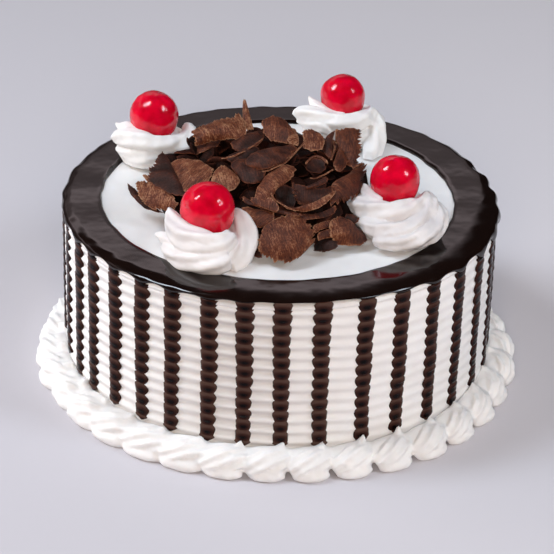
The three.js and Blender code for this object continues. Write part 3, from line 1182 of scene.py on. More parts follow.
@dataclass
class Cherry:
    """A glazed cherry: a slightly flattened, slightly lumpy ball with a shallow stalk dimple.

    Lumps, dents and dip are the heights of its broad and fine unevenness and of its dimple, as shares of the
    radius; dimple_width is the dimple's width in radians and dimple the way in which it lies.
    """

    name: str
    centre: tuple[float, float, float]
    radius: float
    seed: int
    dimple: tuple[float, float, float] = (0.25, 0.3, 0.92)
    squash: float = 0.97
    fullness: float = 0.55
    lumps: float = 0.014
    dents: float = 0.004
    dip: float = 0.05
    dimple_width: float = 0.16

    def shape(self) -> Shape:
        """Works out the skin on rings round the stalk's axis.

        Returns:
            The closed ball: its radius swells by about 1.5 in a hundred, the dimple takes off a bell of one
            twentieth of the radius, and below its middle it is as wide as the sine to the fullness.
        """
        fall = np.linspace(0.03, math.pi - 0.03, 60)
        turn = np.linspace(0.0, TAU, 96, endpoint=False)
        down, round_ = np.meshgrid(fall, turn, indexing="ij")
        ways = np.stack([np.sin(down) * np.cos(round_), np.sin(down) * np.sin(round_), np.cos(down)], axis=-1)
        towards = np.array(self.dimple) / np.linalg.norm(self.dimple)
        away = np.arccos(np.clip(ways @ towards, -1.0, 1.0))
        reach = 1.0 + self.lumps * Swell(1.1, self.seed).at(ways)
        reach = reach + self.dents * Swell(0.3, self.seed + 1).at(ways)
        reach -= self.dip * np.exp(-((away / self.dimple_width) ** 2))
        full = np.where(down > 0.5 * math.pi, np.sin(down) ** (self.fullness - 1.0), 1.0)
        wide = np.stack([full, full, np.full_like(full, self.squash)], axis=-1)
        points = np.array(self.centre) + self.radius * reach[..., None] * ways * wide
        return tube(points[::-1])

    def build(self, finish: bpy.types.Material) -> None:
        """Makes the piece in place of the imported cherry."""
        place(f"glazed_{self.name}", self.shape(), finish, Slot.CHERRY, self.name)


@dataclass
class ShellBorder:
    """The row of piped shells round the foot, each pulled up to a peak against the side.

    Start is the first shell's angle in degrees from the front, reach the ring that they lie on and spread how
    much further out some lie, in millimetres. Melt says how far the shells have slumped into one another:
    where it is 1 their peaks are low and their skin follows the slow slump, where it is 0 the fine ruffle.
    """

    count: int = 35
    start: float = -0.95
    reach: float = 104.6
    spread: Turning = Turning((-180, 15, 35, 60, 90, 180), (0.0, 0.0, 2.0, 1.8, 0.0, 0.0))
    nozzle: Nozzle = Nozzle(ridges=8, depth=0.165, winding=0.08)
    melt: Turning = Turning((-180, -140, -110, -60, -25, -5, 180), (0.0, 0.0, 0.8, 1.0, 0.75, 0.0, 0.0))
    slump: Swell = Swell(7.0, 78)
    slump_share: float = 0.0035
    ruffle: Swell = Swell(4.5, 79)
    ruffle_share: float = 0.0016

    def shell(self, angle: float, draw: np.random.Generator) -> list[Shape]:
        """Works out one shell.

        Args:
            angle: The shell's angle from +X.
            draw: The seeded source of its unevenness.

        Returns:
            Its parts: a fat rope laid along the foot, the short peak pulled up from its right end, the
            flattened lip under it and the cream behind it. Each rope's knots are along the border,
            outwards, up and radius. A melted shell's body goes most of the way to an even roll.
        """
        size = draw.uniform(0.95, 1.06)
        lean = draw.uniform(-1.0, 1.0)
        out = draw.uniform(-0.6, 0.6) + float(self.spread.at(np.array([angle]))[0])
        melt = float(self.melt.at(np.array([angle]))[0])
        tall = draw.uniform(-0.8, 0.8) - 2.6 * melt
        body = np.array([
            [-9.2, 0.6, 3.8, 3.0], [-6.8, 1.5, 5.2, 4.9], [-2.6, 1.4, 6.2, 6.0],
            [2.2, 0.3, 6.6, 5.8], [6.6, -1.3, 5.8, 4.6], [9.8, -2.4, 4.8, 3.0]])
        flat = np.array([
            [-10.6, 0.2, 4.4, 5.0], [-7.4, 0.8, 4.8, 5.3], [-2.6, 0.9, 5.3, 5.6],
            [2.2, 0.4, 5.4, 5.6], [6.8, -0.2, 4.9, 5.3], [10.6, -0.6, 4.5, 5.0]])
        body += 0.85 * melt * (flat - body)
        peak = np.array([
            [-1.5, -0.6, 6.4, 4.6], [2.0, -1.8, 8.2, 4.3], [4.4, -3.4, 9.9, 3.2],
            [5.4 + 0.5 * lean, -4.4, 11.6, 2.1], [5.9 + lean, -5.0, 12.9 + tall, 1.1],
            [6.1 + lean, -5.4, 14.0 + tall, 0.4]])
        peak[:, 3] *= 1.0 - 0.3 * melt
        body[:, :2] *= size
        body[:, 3] *= size
        lip = np.array([
            [-8.2, 3.2, 1.6, 1.4], [-5.4, 4.5, 2.1, 2.6], [-0.8, 5.2 + 0.3 * lean, 2.3, 3.0],
            [3.6, 4.7, 2.1, 2.7], [7.0, 3.2, 1.6, 1.4]])
        lip[:, 0] *= 1.0 + 0.35 * melt
        lip[:, 3] += 0.5 * melt
        back = np.array([
            [-9.6, -2.8, 5.6, 4.6], [-5.0, -2.7, 6.4, 4.9], [0.0, -2.7, 6.8, 5.0], [4.5, -2.8, 6.8, 4.9],
            [9.2, -2.9, 5.8, 4.6]])
        ropes = [self.nozzle.rope(self.turned(knots, angle, out), spacing=0.8) for knots in (body, peak)]
        return ropes + [Nozzle(3, 0.06, 0.02).rope(self.turned(knots, angle, out)) for knots in (lip, back)]

    def turned(self, local: Array, angle: float, out: float) -> Array:
        """Moves a rope's knots to the shell's place on the border.

        Args:
            local: Rows of along the border, outwards, up and radius, in millimetres.
            angle: The shell's angle from +X.
            out: How much further out than the ring the shell lies.

        Returns:
            Rows of x, y, z and radius: what lies along the border is bent round the ring.
        """
        radius = self.reach + out + local[:, 1]
        around = angle + local[:, 0] / self.reach
        return np.stack([radius * np.cos(around), radius * np.sin(around), local[:, 2], local[:, 3]], axis=-1)

    def build(self, finish: bpy.types.Material) -> None:
        """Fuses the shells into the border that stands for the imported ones.

        Args:
            finish: The cream.
        """
        draw = np.random.default_rng(77)
        parts: list[Shape] = []
        for number in range(self.count):
            degrees = self.start + number * 360.0 / self.count - 90.0
            parts += self.shell(math.radians(degrees), draw)
        skin = rounded("border", Shape.joined(parts), 0.7, 2)
        points = skin.points
        soft = self.melt.at(np.arctan2(points[:, 1], points[:, 0]))
        points *= 1.0 + (self.ruffle_share * (1.0 - soft) * self.ruffle.at(points))[:, None] * [1.0, 1.0, 4.0]
        points *= 1.0 + (self.slump_share * soft * self.slump.at(points))[:, None] * [1.0, 1.0, 9.0]
        points[:, 2] = np.maximum(points[:, 2], 0.0)
        nodes = [f"shell_{number + 1:02d}" for number in range(self.count)]
        place("cream_shells", skin, finish, Slot.CREAM, *nodes)


# ---------------------------------------------------------------------------
# chocolate shavings
# ---------------------------------------------------------------------------
@dataclass(frozen=True)
class Mound:
    """The smooth mound that the shavings lie on.

    Lines of sight are followed in steps from the height sky down to the base.
    """

    centre: tuple[float, float] = (-8.0, 0.0)
    reach: tuple[float, float] = (61.0, 62.0)
    base: float = 83.2
    rise: float = 23.0
    sky: float = 140.0
    steps: int = 400

    def height(self, x: Array, y: Array) -> Array:
        """The mound's height: its rise times (1 - q^2) to the 0.75, where q is 1 at its edge."""
        q = ((x - self.centre[0]) / self.reach[0]) ** 2 + ((y - self.centre[1]) / self.reach[1]) ** 2
        return self.base + self.rise * np.clip(1.0 - q, 0.0, 1.0) ** 0.75

    def meet(self, camera: StudioCamera, across: float, down: float, lift: float) -> Array:
        """Finds where a line of sight comes within a lift of the mound.

        Args:
            camera: The camera that sees the place.
            across: Pixels from the picture's left edge.
            down: Pixels from its top edge.
            lift: Millimetres above the mound.

        Returns:
            The first such point, or the nearest that the line comes to the mound.
        """
        eye, ray = camera.sight(across, down)
        height = np.linspace(self.sky, self.base, self.steps)
        path = eye + ray * ((height - eye[2]) / ray[2])[:, None]
        over = height - self.height(path[:, 0], path[:, 1]) - lift
        inside = np.nonzero(over <= 0.0)[0]
        return path[inside[0] if len(inside) else int(np.argmin(over))]


class Edge(Enum):
    """A shaving's edges, in the order in which its rim points go round."""

    TOP = 0
    RIGHT = 1
    BOTTOM = 2
    LEFT = 3


@dataclass(frozen=True)
class Shaving:
    """One shaving drawn as it shows from the front.

    Its rim is eight points, from the top left corner clockwise with each edge's middle, as pixels across,
    pixels down and millimetres above the mound. Shade is how light it is. Belly is how far its middle bulges
    towards the eye and thick its thickness, in millimetres. Torn lists its ragged edges: one that is listed
    twice is torn twice as deep. Grain is the radians by which its scraper lines turn from running down it,
    and fade is how much lighter its right side is.
    """

    rim: tuple[tuple[float, float, float], ...]
    shade: float
    belly: float = 1.5
    torn: tuple[Edge, ...] = ()
    grain: float = 0.0
    thick: float = 0.36
    fade: float = 0.0


@dataclass
class Heap:
    """The heap of shavings: a dark core of painted shade, the shavings that show, and seeded ones between and
    behind.

    Clear lists round places, as x, y and radius, that get no filling shavings. Chips is how many chips an
    edge has, and chip and tooth how deep chips and teeth bite, as shares of the half width. Filling is how
    many filling shavings are tried and coarse their grid. Level_pixels is how many of the picture's pixels a
    millimetre of level ground takes from front to back, and recline the share of that by which a shaving
    that stands up still goes back. The core lies core_drop millimetres under the mound.
    """

    camera: StudioCamera
    shavings: tuple[Shaving, ...]
    mound: Mound = Mound()
    clear: tuple[tuple[float, float, float], ...] = ()
    chips: int = 14
    chip: float = 0.11
    tooth: float = 0.15
    filling: int = 190
    coarse: tuple[int, int] = (8, 6)
    level_pixels: float = 1.04
    recline: float = 0.6
    spacing: float = 1.3
    core_drop: float = 3.5
    core_reach: float = 0.79
    # the core's near-black shade is painted shade for the deep gaps between the shavings
    core_painted_shade: float = 0.05

    def sheet(self, corners: Array, cut: Shaving, size: tuple[int, int], draw: np.random.Generator) -> Shape:
        """Works out one shaving from its eight rim points.

        Args:
            corners: The rim points in millimetres.
            cut: The shaving's shade, belly, torn edges and grain.
            size: Points along and across it.
            draw: The seeded source of its raggedness.

        Returns:
            The closed sheet, with its values shade, rim and along. Inside the rim each point is the eight
            points' usual quadratic blend, on a grid that a sine draws closer towards the rim; the belly adds
            (1 - u^2)(1 - v^2) along the sheet's mean normal; torn edges pull in by a saw; the two skins lie
            half the thickness to each side, and a wall joins them round the rim.
        """
        nu, nv = size
        runs = (np.sin(self.spacing * np.linspace(-1, 1, n)) / math.sin(self.spacing) for n in size)
        u, v = np.meshgrid(*runs, indexing="ij")
        right, left = (self.bite(v, cut.torn.count(edge), draw) for edge in (Edge.RIGHT, Edge.LEFT))
        bottom, top = (self.bite(u, cut.torn.count(edge), draw) for edge in (Edge.BOTTOM, Edge.TOP))
        a = u * (1.0 - np.where(u > 0, right, left) * smooth(0.3, 1.0, np.abs(u)))
        b = v * (1.0 - np.where(v > 0, bottom, top) * smooth(0.3, 1.0, np.abs(v)))
        blend = np.stack([
            -(1 - a) * (1 - b) * (1 + a + b) / 4, (1 - a * a) * (1 - b) / 2,
            -(1 + a) * (1 - b) * (1 - a + b) / 4, (1 + a) * (1 - b * b) / 2,
            -(1 + a) * (1 + b) * (1 - a - b) / 4, (1 - a * a) * (1 + b) / 2,
            -(1 - a) * (1 + b) * (1 + a - b) / 4, (1 - a) * (1 - b * b) / 2], axis=-1)
        face = blend @ corners
        along_u, along_v = np.gradient(face, axis=0), np.gradient(face, axis=1)
        normal = np.cross(along_v, along_u)
        normal /= np.maximum(np.linalg.norm(normal, axis=-1, keepdims=True), 1e-6)
        mean = normal.mean(axis=(0, 1))
        mean /= max(float(np.linalg.norm(mean)), 1e-6)
        towards = np.array([0.0, -self.camera.distance, self.camera.height]) - corners.mean(axis=0)
        turned = float(mean @ towards) < 0
        out = -mean if turned else mean
        waves = 0.25 * Swell(7.0, int(draw.integers(1 << 30))).at(face)
        face = face + (cut.belly * (1 - u**2) * (1 - v**2) + waves)[..., None] * out
        half = 0.5 * cut.thick * (1.0 - 0.35 * np.maximum(np.abs(u), np.abs(v)) ** 6)
        side = -normal if turned else normal
        over, under = face + half[..., None] * side, face - half[..., None] * side
        shade = cut.shade + cut.fade * u + 0.4 * waves
        span = float(np.linalg.norm(corners - corners.mean(axis=0), axis=1).mean())
        # rim is 1 on the edges, which the finish lightens: partly torn edges, partly painted highlight
        rim = smooth(1.0 - 0.8 / span, 1.0 - 0.1 / span, np.maximum(np.abs(u), np.abs(v)))
        way = math.cos(cut.grain) * (face @ self.unit(corners, 2, 0))
        way = way + math.sin(cut.grain) * (face @ self.unit(corners, 6, 0))
        count = nu * nv
        front = grid_faces(nu, nv, wrap=False, flip=turned)
        loop = np.concatenate([
            np.arange(nv), np.arange(1, nu) * nv + nv - 1,
            (nu - 1) * nv + np.arange(nv - 2, -1, -1), np.arange(nu - 2, 0, -1) * nv])
        after = np.roll(loop, -1)
        walls = np.stack([after, loop, loop + count, after + count], axis=-1)
        walls = walls[:, ::-1] if turned else walls
        points = np.concatenate([over.reshape(-1, 3), under.reshape(-1, 3)])
        carried = {"shade": shade, "rim": rim, "along": way}
        values = {key: np.concatenate([value.reshape(-1)] * 2) for key, value in carried.items()}
        return Shape(points, [front, front[:, ::-1] + count, walls], values)

    def bite(self, run: Array, torn: int, draw: np.random.Generator) -> Array:
        """How far an edge is bitten in along its run.

        Args:
            run: Places along the edge, -1 to 1.
            torn: How deeply the edge is torn into teeth: 0, 1 or 2.
            draw: The seeded source of its raggedness.

        Returns:
            Shares of the half width: straight chips between random knots, plus a saw where it is torn.
        """
        knots = np.sort(draw.uniform(-1.0, 1.0, self.chips))
        bitten = np.interp(run, knots, draw.uniform(-0.03, self.chip, self.chips))
        teeth = np.mod(run * draw.uniform(5.0, 7.5) + 0.7 * np.sin(5.0 * run + draw.uniform(0.0, 6.0)), 1.0)
        deep = np.interp(run, knots, draw.uniform(0.3, 1.7, self.chips))
        return bitten + self.tooth * torn * deep * teeth

    @staticmethod
    def unit(corners: Array, to: int, start: int) -> Array:
        """The direction from one rim point to another, by their numbers."""
        way = corners[to] - corners[start]
        return way / max(float(np.linalg.norm(way)), 1e-6)

    def corners(self, cut: Shaving) -> Array:
        """Finds a shaving's rim points in space.

        Args:
            cut: The shaving as it is drawn.

        Returns:
            The eight points where its sight lines meet the mound. A shaving that would run away down the
            mound's far side stands up on its nearest point instead, on a plane that leans back.
        """
        met = np.stack([self.mound.meet(self.camera, *point) for point in cut.rim])
        near = int(np.argmin(met[:, 1]))
        above = np.maximum(cut.rim[near][1] - np.array(cut.rim)[:, 1], 0.0) / self.level_pixels
        if (met[:, 1] - met[near, 1] > 1.15 * above + 1.5).any():
            depths = met[near, 1] + self.recline * above
            met = np.stack([
                self.camera.at_depth(across, down, float(depth))
                for (across, down, _), depth in zip(cut.rim, depths)])
        return met

    def shown(self) -> Shape:
        """Works out the shavings that show from the front.

        Returns:
            One shape of the drawn sheets, the larger ones on finer grids.
        """
        draw = np.random.default_rng(91)
        sheets = []
        for cut in self.shavings:
            corners = self.corners(cut)
            span = float(np.linalg.norm(corners - corners.mean(axis=0), axis=1).mean())
            fine = int(np.clip(19.0 + 1.75 * span, 20, 46))
            sheets.append(self.sheet(corners, cut, (fine, fine), draw))
        return Shape.joined(sheets)

    def between(self) -> Shape:
        """Works out the seeded shavings that fill the gaps with painted shade and cover the back.

        Returns:
            One shape of small oval sheets, spread evenly over the mound as the square root of an even draw
            and tilted by normal draws, more calmly towards the back. In front they are near black, painted
            shade in the gaps, and towards the back they are lighter, painted light.
        """
        draw = np.random.default_rng(92)
        around = np.linspace(0, TAU, 8, endpoint=False) - 0.75 * math.pi
        sheets = []
        for _ in range(self.filling):
            # 0.64 is the square of how far out they lie, as a share of the mound's reach
            turn, far = draw.uniform(0, TAU), math.sqrt(draw.uniform(0.0, 0.64))
            x = self.mound.centre[0] + far * self.mound.reach[0] * math.cos(turn)
            y = self.mound.centre[1] + far * self.mound.reach[1] * math.sin(turn)
            if any(math.hypot(x - over, y - back) < reach for over, back, reach in self.clear):
                continue
            behind = smooth(10.0, 40.0, np.array(y))
            middle = np.array([x, y, float(self.mound.height(np.array(x), np.array(y))) - 1.4 - 1.2 * behind])
            calm = 1.0 - 0.6 * float(behind)
            tilt, lean, spin = calm * draw.normal(0, 0.5), calm * draw.normal(0, 0.4), draw.uniform(0, TAU)
            long, wide = draw.uniform(5, 10), draw.uniform(3, 7)
            flat = np.stack([long * np.cos(around), wide * np.sin(around), 0 * around], axis=-1)
            turn_by = np.array(Matrix.Rotation(spin, 3, "Z") @ Matrix.Rotation(tilt, 3, "X")
                               @ Matrix.Rotation(lean, 3, "Y"))
            # painted shade: near black in the gaps in front; painted light: lighter towards the back
            shade = float(draw.uniform(0.0, 0.2) + 0.3 * smooth(42.0, 58.0, np.array(y)))
            cut = Shaving((), shade, float(draw.uniform(0.5, 3.0)))
            sheets.append(self.sheet(middle + flat @ turn_by.T, cut, self.coarse, draw))
        return Shape.joined(sheets)

    def core(self) -> Shape:
        """Works out the dark core, painted shade for the deep gaps, a little under the mound's own surface.

        Returns:
            The closed core: rings on the mound's surface, let down by the drop and made softly lumpy, and a
            last one on the cake.
        """
        turn = np.linspace(0.0, TAU, 120, endpoint=False)
        far = np.linspace(0.02, self.core_reach, 40)
        x = self.mound.centre[0] + np.outer(far, self.mound.reach[0] * np.cos(turn))
        y = self.mound.centre[1] + np.outer(far, self.mound.reach[1] * np.sin(turn))
        z = self.mound.height(x, y) - self.core_drop
        rings = np.stack([x, y, z], axis=-1)
        rings[..., 2] += 1.2 * Swell(9.0, 93).at(rings) + 0.6 * Swell(4.0, 94).at(rings)
        rings = np.concatenate([rings, [rings[-1] * [1, 1, 0] + [0, 0, self.mound.base - 0.8]]])
        values = {"shade": np.full(x.shape, self.core_painted_shade), "rim": np.zeros(x.shape), "along": x}
        carried = {key: np.concatenate([value, value[-1:]])[::-1] for key, value in values.items()}
        return tube(rings[::-1], carried)

    def build(self, finish: bpy.types.Material, gap_shade: bpy.types.Material) -> None:
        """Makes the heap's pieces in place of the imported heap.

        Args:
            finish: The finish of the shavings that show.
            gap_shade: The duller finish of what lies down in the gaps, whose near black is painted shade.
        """
        place("shavings_core", self.core(), gap_shade, Slot.CHOCOLATE, "shavings_heap")
        place("shavings_shown", self.shown(), finish, Slot.CHOCOLATE, "shavings_heap")
        place("shavings_between", self.between(), gap_shade, Slot.CHOCOLATE, "shavings_heap")


class Reach(Enum):
    """What a lamp acts on: matt light, the mirror image that a gloss shows, or both."""

    ALL = "all"
    MATT = "matt"
    GLOSS = "gloss"


@dataclass(frozen=True)
class SoftBox:
    """A soft lamp: its direction from the cake, its size in metres, its power, and what it acts on.

    It faces the height aim over the cake's foot from its distance, both in metres.
    """

    name: str
    towards: tuple[float, float, float]
    size: tuple[float, float]
    power: float
    acts: Reach = Reach.ALL
    distance: float = 1.15
    tint: int = 0xFFFFFF
    aim: float = 0.06

    def build(self) -> None:
        """Makes the lamp, facing the cake's middle."""
        data = bpy.data.lights.new(self.name, "AREA")
        data.shape = "RECTANGLE"
        data.size, data.size_y = self.size
        data.energy = self.power
        data.color = linear(self.tint)[:3]
        lamp = bpy.data.objects.new(self.name, data)
        bpy.context.collection.objects.link(lamp)
        way = Vector(self.towards).normalized()
        lamp.location = Vector((0, 0, self.aim)) + way * self.distance
        lamp.rotation_mode = "QUATERNION"
        lamp.rotation_quaternion = way.to_track_quat("Z", "Y")
        lamp.visible_camera = False
        lamp.visible_glossy = self.acts is not Reach.MATT
        lamp.visible_diffuse = self.acts is not Reach.GLOSS


LAMPS = (
    SoftBox("left_box", (-0.56, -0.05, 0.82), (0.26, 0.44), power=6.2, tint=0xE4F1FF),
    SoftBox("right_box", (0.66, -0.29, 0.69), (0.24, 0.42), power=4.0, tint=0xE4F1FF),
    SoftBox("left_catch", (-0.56, -0.05, 0.82), (0.2, 0.5), power=7.6, acts=Reach.GLOSS),
    SoftBox("right_catch", (0.66, -0.29, 0.69), (0.17, 0.32), power=3.6, acts=Reach.GLOSS),
    SoftBox("over_card", (0.0, 0.15, 1.0), (0.6, 0.6), 2.4, Reach.MATT, distance=1.5, tint=0xF2F7FF),
    SoftBox("left_wall", (-0.95, 0.17, 0.18), (0.9, 0.8), 16.4, Reach.MATT, distance=1.5, tint=0xFFFAF6),
    SoftBox("front_card", (0.0, -0.88, 0.43), (0.5, 0.4), 10.8, Reach.MATT, distance=1.5, tint=0xFFF0E3),
    SoftBox("right_card", (0.9, -0.3, 0.26), (0.8, 0.6), 3.5, Reach.MATT, distance=1.5, tint=0xFFF2E6),
)


@dataclass(frozen=True)
class Studio:
    """The plain pale floor, the soft lamps and the room's own light.

    The room's wall lies in the direction wall_way. It fades in over wall_side, its top fades out over
    wall_top, and towards its foot it darkens over wall_foot and wall_ground.
    """

    floor_near: int = 0xCCC9CF
    # the paler far colour is painted light laid on the floor towards the back right
    floor_far_painted_light: int = 0xE2DEE2
    floor_way: tuple[float, float, float] = (0.55, 0.3, 0.0)
    floor_radius: float = 4000.0
    floor_sides: int = 64
    wall_colour: int = 0xC1B2B5
    dark_colour: int = 0x1C1A1B
    wall_way: tuple[float, float, float] = (-0.7, 0.71, 0.0)
    wall_side: tuple[float, float] = (0.495, 0.58)
    wall_top: tuple[float, float] = (0.5, 0.57)
    wall_foot: tuple[float, float] = (0.44, 0.495)
    wall_ground: tuple[float, float] = (0.28, 0.4)

    def floor(self) -> None:
        """Makes a wide floor disc, a little paler away from the camera to the right, as painted light."""
        angle = np.linspace(0.0, TAU, self.floor_sides, endpoint=False)
        across, back = self.floor_radius * np.cos(angle), self.floor_radius * np.sin(angle)
        rim = np.stack([across, back, np.zeros_like(angle)], axis=-1)
        face = np.arange(self.floor_sides)[None, :]
        disc = bpy.data.objects.new("floor", Shape(rim, [face]).mesh("floor"))
        bpy.context.collection.objects.link(disc)
        material, tree, main = Finish("matte_paper_sweep").begin(Roughness=0.8, Specular_IOR_Level=0.2)
        place_at = add_node(tree, "ShaderNodeTexCoord").outputs["Object"]
        # painted light: the floor pales along floor_way
        away = add_node(tree, "ShaderNodeVectorMath", {"operation": "DOT_PRODUCT"}, {
            0: place_at, 1: self.floor_way})
        tone = add_node(tree, "ShaderNodeMapRange", inputs={
            "Value": away.outputs["Value"], "From Min": -0.08, "From Max": 0.22})
        colour = add_node(tree, "ShaderNodeMix", {"data_type": "RGBA"}, {
            0: tone.outputs[0], 6: linear(self.floor_near), 7: linear(self.floor_far_painted_light)})
        tree.links.new(colour.outputs[2], main.inputs["Base Color"])
        disc.data.materials.append(material)

    def room(self) -> None:
        """Sets the room: one pale wall behind and to the left, waist high, and dim everywhere else."""
        world = bpy.data.worlds.new("room")
        world.use_nodes = True
        tree = world.node_tree
        tree.nodes.clear()
        way = add_node(tree, "ShaderNodeTexCoord").outputs["Generated"]
        split = add_node(tree, "ShaderNodeSeparateXYZ", inputs={0: way})
        facing = add_node(tree, "ShaderNodeVectorMath", {"operation": "DOT_PRODUCT"}, {
            0: way, 1: self.wall_way})
        low = add_node(tree, "ShaderNodeMapRange", {"interpolation_type": "SMOOTHSTEP"}, {
            "Value": split.outputs["Z"], "From Min": self.wall_top[0], "From Max": self.wall_top[1],
            "To Min": 1.0, "To Max": 0.0})
        foot = add_node(tree, "ShaderNodeMapRange", {"interpolation_type": "SMOOTHSTEP"}, {
            "Value": split.outputs["Z"], "From Min": self.wall_foot[0], "From Max": self.wall_foot[1],
            "To Min": 0.6, "To Max": 2.4})
        ground = add_node(tree, "ShaderNodeMapRange", {"interpolation_type": "SMOOTHSTEP"}, {
            "Value": split.outputs["Z"], "From Min": self.wall_ground[0], "From Max": self.wall_ground[1],
            "To Min": 0.25, "To Max": 1.0})
        side = add_node(tree, "ShaderNodeMapRange", {"interpolation_type": "SMOOTHSTEP"}, {
            "Value": facing.outputs["Value"], "From Min": self.wall_side[0], "From Max": self.wall_side[1]})
        band = add_node(tree, "ShaderNodeMath", {"operation": "MULTIPLY"}, {
            0: low.outputs[0], 1: side.outputs[0]})
        rising = add_node(tree, "ShaderNodeMath", {"operation": "MULTIPLY"}, {
            0: foot.outputs[0], 1: ground.outputs[0]})
        share = add_node(tree, "ShaderNodeMath", {"operation": "MULTIPLY"}, {
            0: band.outputs[0], 1: rising.outputs[0]})
        colour = add_node(tree, "ShaderNodeMix", {"data_type": "RGBA", "clamp_factor": False}, {
            0: share.outputs[0], 6: linear(self.dark_colour), 7: linear(self.wall_colour)})
        light = add_node(tree, "ShaderNodeBackground", inputs={"Color": colour.outputs[2], "Strength": 1.0})
        add_node(tree, "ShaderNodeOutputWorld", inputs={"Surface": light.outputs[0]})
        bpy.context.scene.world = world

    def build(self) -> None:
        """Builds the floor, the room and the lamps."""
        self.floor()
        self.room()
        for lamp in LAMPS:
            lamp.build()


# ---------------------------------------------------------------------------
# what lies on this cake
# ---------------------------------------------------------------------------
# each stroke's knots are pixels across, pixels down, y in millimetres and the rope's radius
ROSETTES = (
    Rosette("rosette_back_left", (-61.0, 40.0), 19.6, 84.2, 12.0, (
        Stroke(((112, 138, 40, 0.6), (118, 137, 36, 3.2), (127, 138, 31, 4.6), (140, 141, 27, 5.0),
                (155, 145, 26, 4.6), (168, 145, 28, 4.4), (179, 142, 32, 3.6), (187, 136, 37, 3.0),
                (190, 128, 43, 2.2), (185, 124, 47, 1.0))),
        Stroke(((116, 123, 45, 0.4), (121, 127, 42, 2.2), (128, 129, 39, 3.4), (135, 134, 34, 3.4),
                (143, 138, 30, 3.0))),
        Stroke(((118, 148, 36, 2.0), (130, 153, 29, 4.0), (145, 156, 25, 4.6), (162, 153, 27, 4.4),
                (178, 147, 31, 4.0), (189, 145, 36, 3.0), (195, 148, 38, 0.8))),
        Stroke(((168, 148, 27, 3.0), (178, 149, 29, 4.2), (187, 146, 32, 4.4), (192, 138, 36, 3.6),
                (190, 130, 41, 2.8), (184, 127, 45, 1.4))),
    ), 200.0, 41),
    Rosette("rosette_back_right", (28.2, 68.8), 21.5, 84.2, 11.0, (
        Stroke(((293, 113, 66, 0.8), (301, 113, 62, 3.4), (313, 116, 57, 4.6), (330, 121, 53, 4.4),
                (346, 123.5, 52, 4.6), (360, 121, 55, 4.4), (369, 115, 61, 3.6), (371, 109, 66, 2.2))),
        Stroke(((308, 95.5, 70, 0.3), (312, 101, 68, 1.8), (318, 107, 65, 2.6), (330, 114, 59, 2.4),
                (344, 117, 57, 2.4))),
        Stroke(((297, 121, 62, 0.8), (306, 123, 57, 2.6), (316, 126, 53, 3.4), (325, 129, 50, 3.2),
                (330, 134, 49, 1.0))),
        Stroke(((361, 113, 66, 3.0), (371, 119, 64, 4.8), (376, 130, 58, 5.0), (375, 143, 52, 5.2),
                (371, 154, 47, 4.6), (367, 164, 43, 3.0))),
    ), 240.0, 42),
    Rosette("rosette_front_left", (-32.0, -54.0), 20.5, 84.2, 11.0, (
        Stroke(((169, 207, -46, 0.4), (171, 215, -50, 2.8), (176, 227, -57, 5.0), (187, 238, -64, 5.8),
                (200, 243, -68, 6.0), (212, 245, -69, 5.6), (223, 243, -68, 4.6), (231, 237, -64, 3.6))),
        Stroke(((235, 209, -44, 1.2), (241, 217, -47, 4.0), (245, 230, -52, 5.6), (245, 243, -57, 6.0),
                (241, 254, -63, 5.6), (235, 262, -68, 4.8), (230, 268, -72, 3.0))),
        Stroke(((164, 246, -56, 2.0), (172, 254, -63, 3.4), (184, 260, -69, 4.6), (200, 263, -73, 5.0),
                (216, 263, -74, 5.0), (228, 260, -72, 4.2))),
        Stroke(((156, 234, -46, 0.8), (162, 236, -50, 2.2), (169, 240, -55, 3.0), (177, 247, -61, 2.8))),
    ), 190.0, 43, painted_shade=True, nozzle=Nozzle(5, 0.12, 0.05)),
    Rosette("rosette_right", (51.0, -21.5), 21.5, 83.1, 12.0, (
        Stroke(((348, 202, -21, 0.8), (357, 205, -27, 4.0), (370, 210, -33, 5.0), (385, 213, -37, 5.2),
                (400, 212, -37, 5.0), (412, 208, -34, 4.2), (421, 203, -29, 3.4), (427, 195, -23, 2.2))),
        Stroke(((361, 185, -15, 0.6), (365, 190, -19, 2.8), (370, 198, -26, 3.4), (378, 204, -32, 3.2))),
        Stroke(((351, 195, -19, 0.6), (356, 199, -22, 2.4), (363, 205, -28, 3.0))),
        Stroke(((354, 222, -35, 0.5), (363, 223, -39, 2.4), (375, 229, -44, 4.0), (390, 232, -47, 4.4),
                (405, 231, -46, 4.4), (418, 224, -41, 4.2), (427, 213, -33, 4.2), (430, 202, -25, 3.6),
                (426, 194, -18, 1.8))),
        Stroke(((374, 239, -48, 2.6), (390, 242, -51, 3.8), (408, 242, -51, 4.0), (424, 236, -47, 4.4),
                (435, 227, -39, 4.6), (438, 215, -30, 4.2), (434, 205, -22, 2.8))),
    ), 200.0, 44, painted_shade=True, nozzle=Nozzle(5, 0.13, 0.06)),
)
CHERRIES = (
    Cherry("cherry_back_left", (-60.5, 41.7, 104.0), 11.5, 51),
    Cherry("cherry_back_right", (28.4, 68.7, 104.0), 10.8, 52),
    Cherry("cherry_front_left", (-31.7, -52.3, 104.0), 12.0, 53),
    Cherry("cherry_right", (51.2, -20.5, 105.0), 11.2, 54),
)

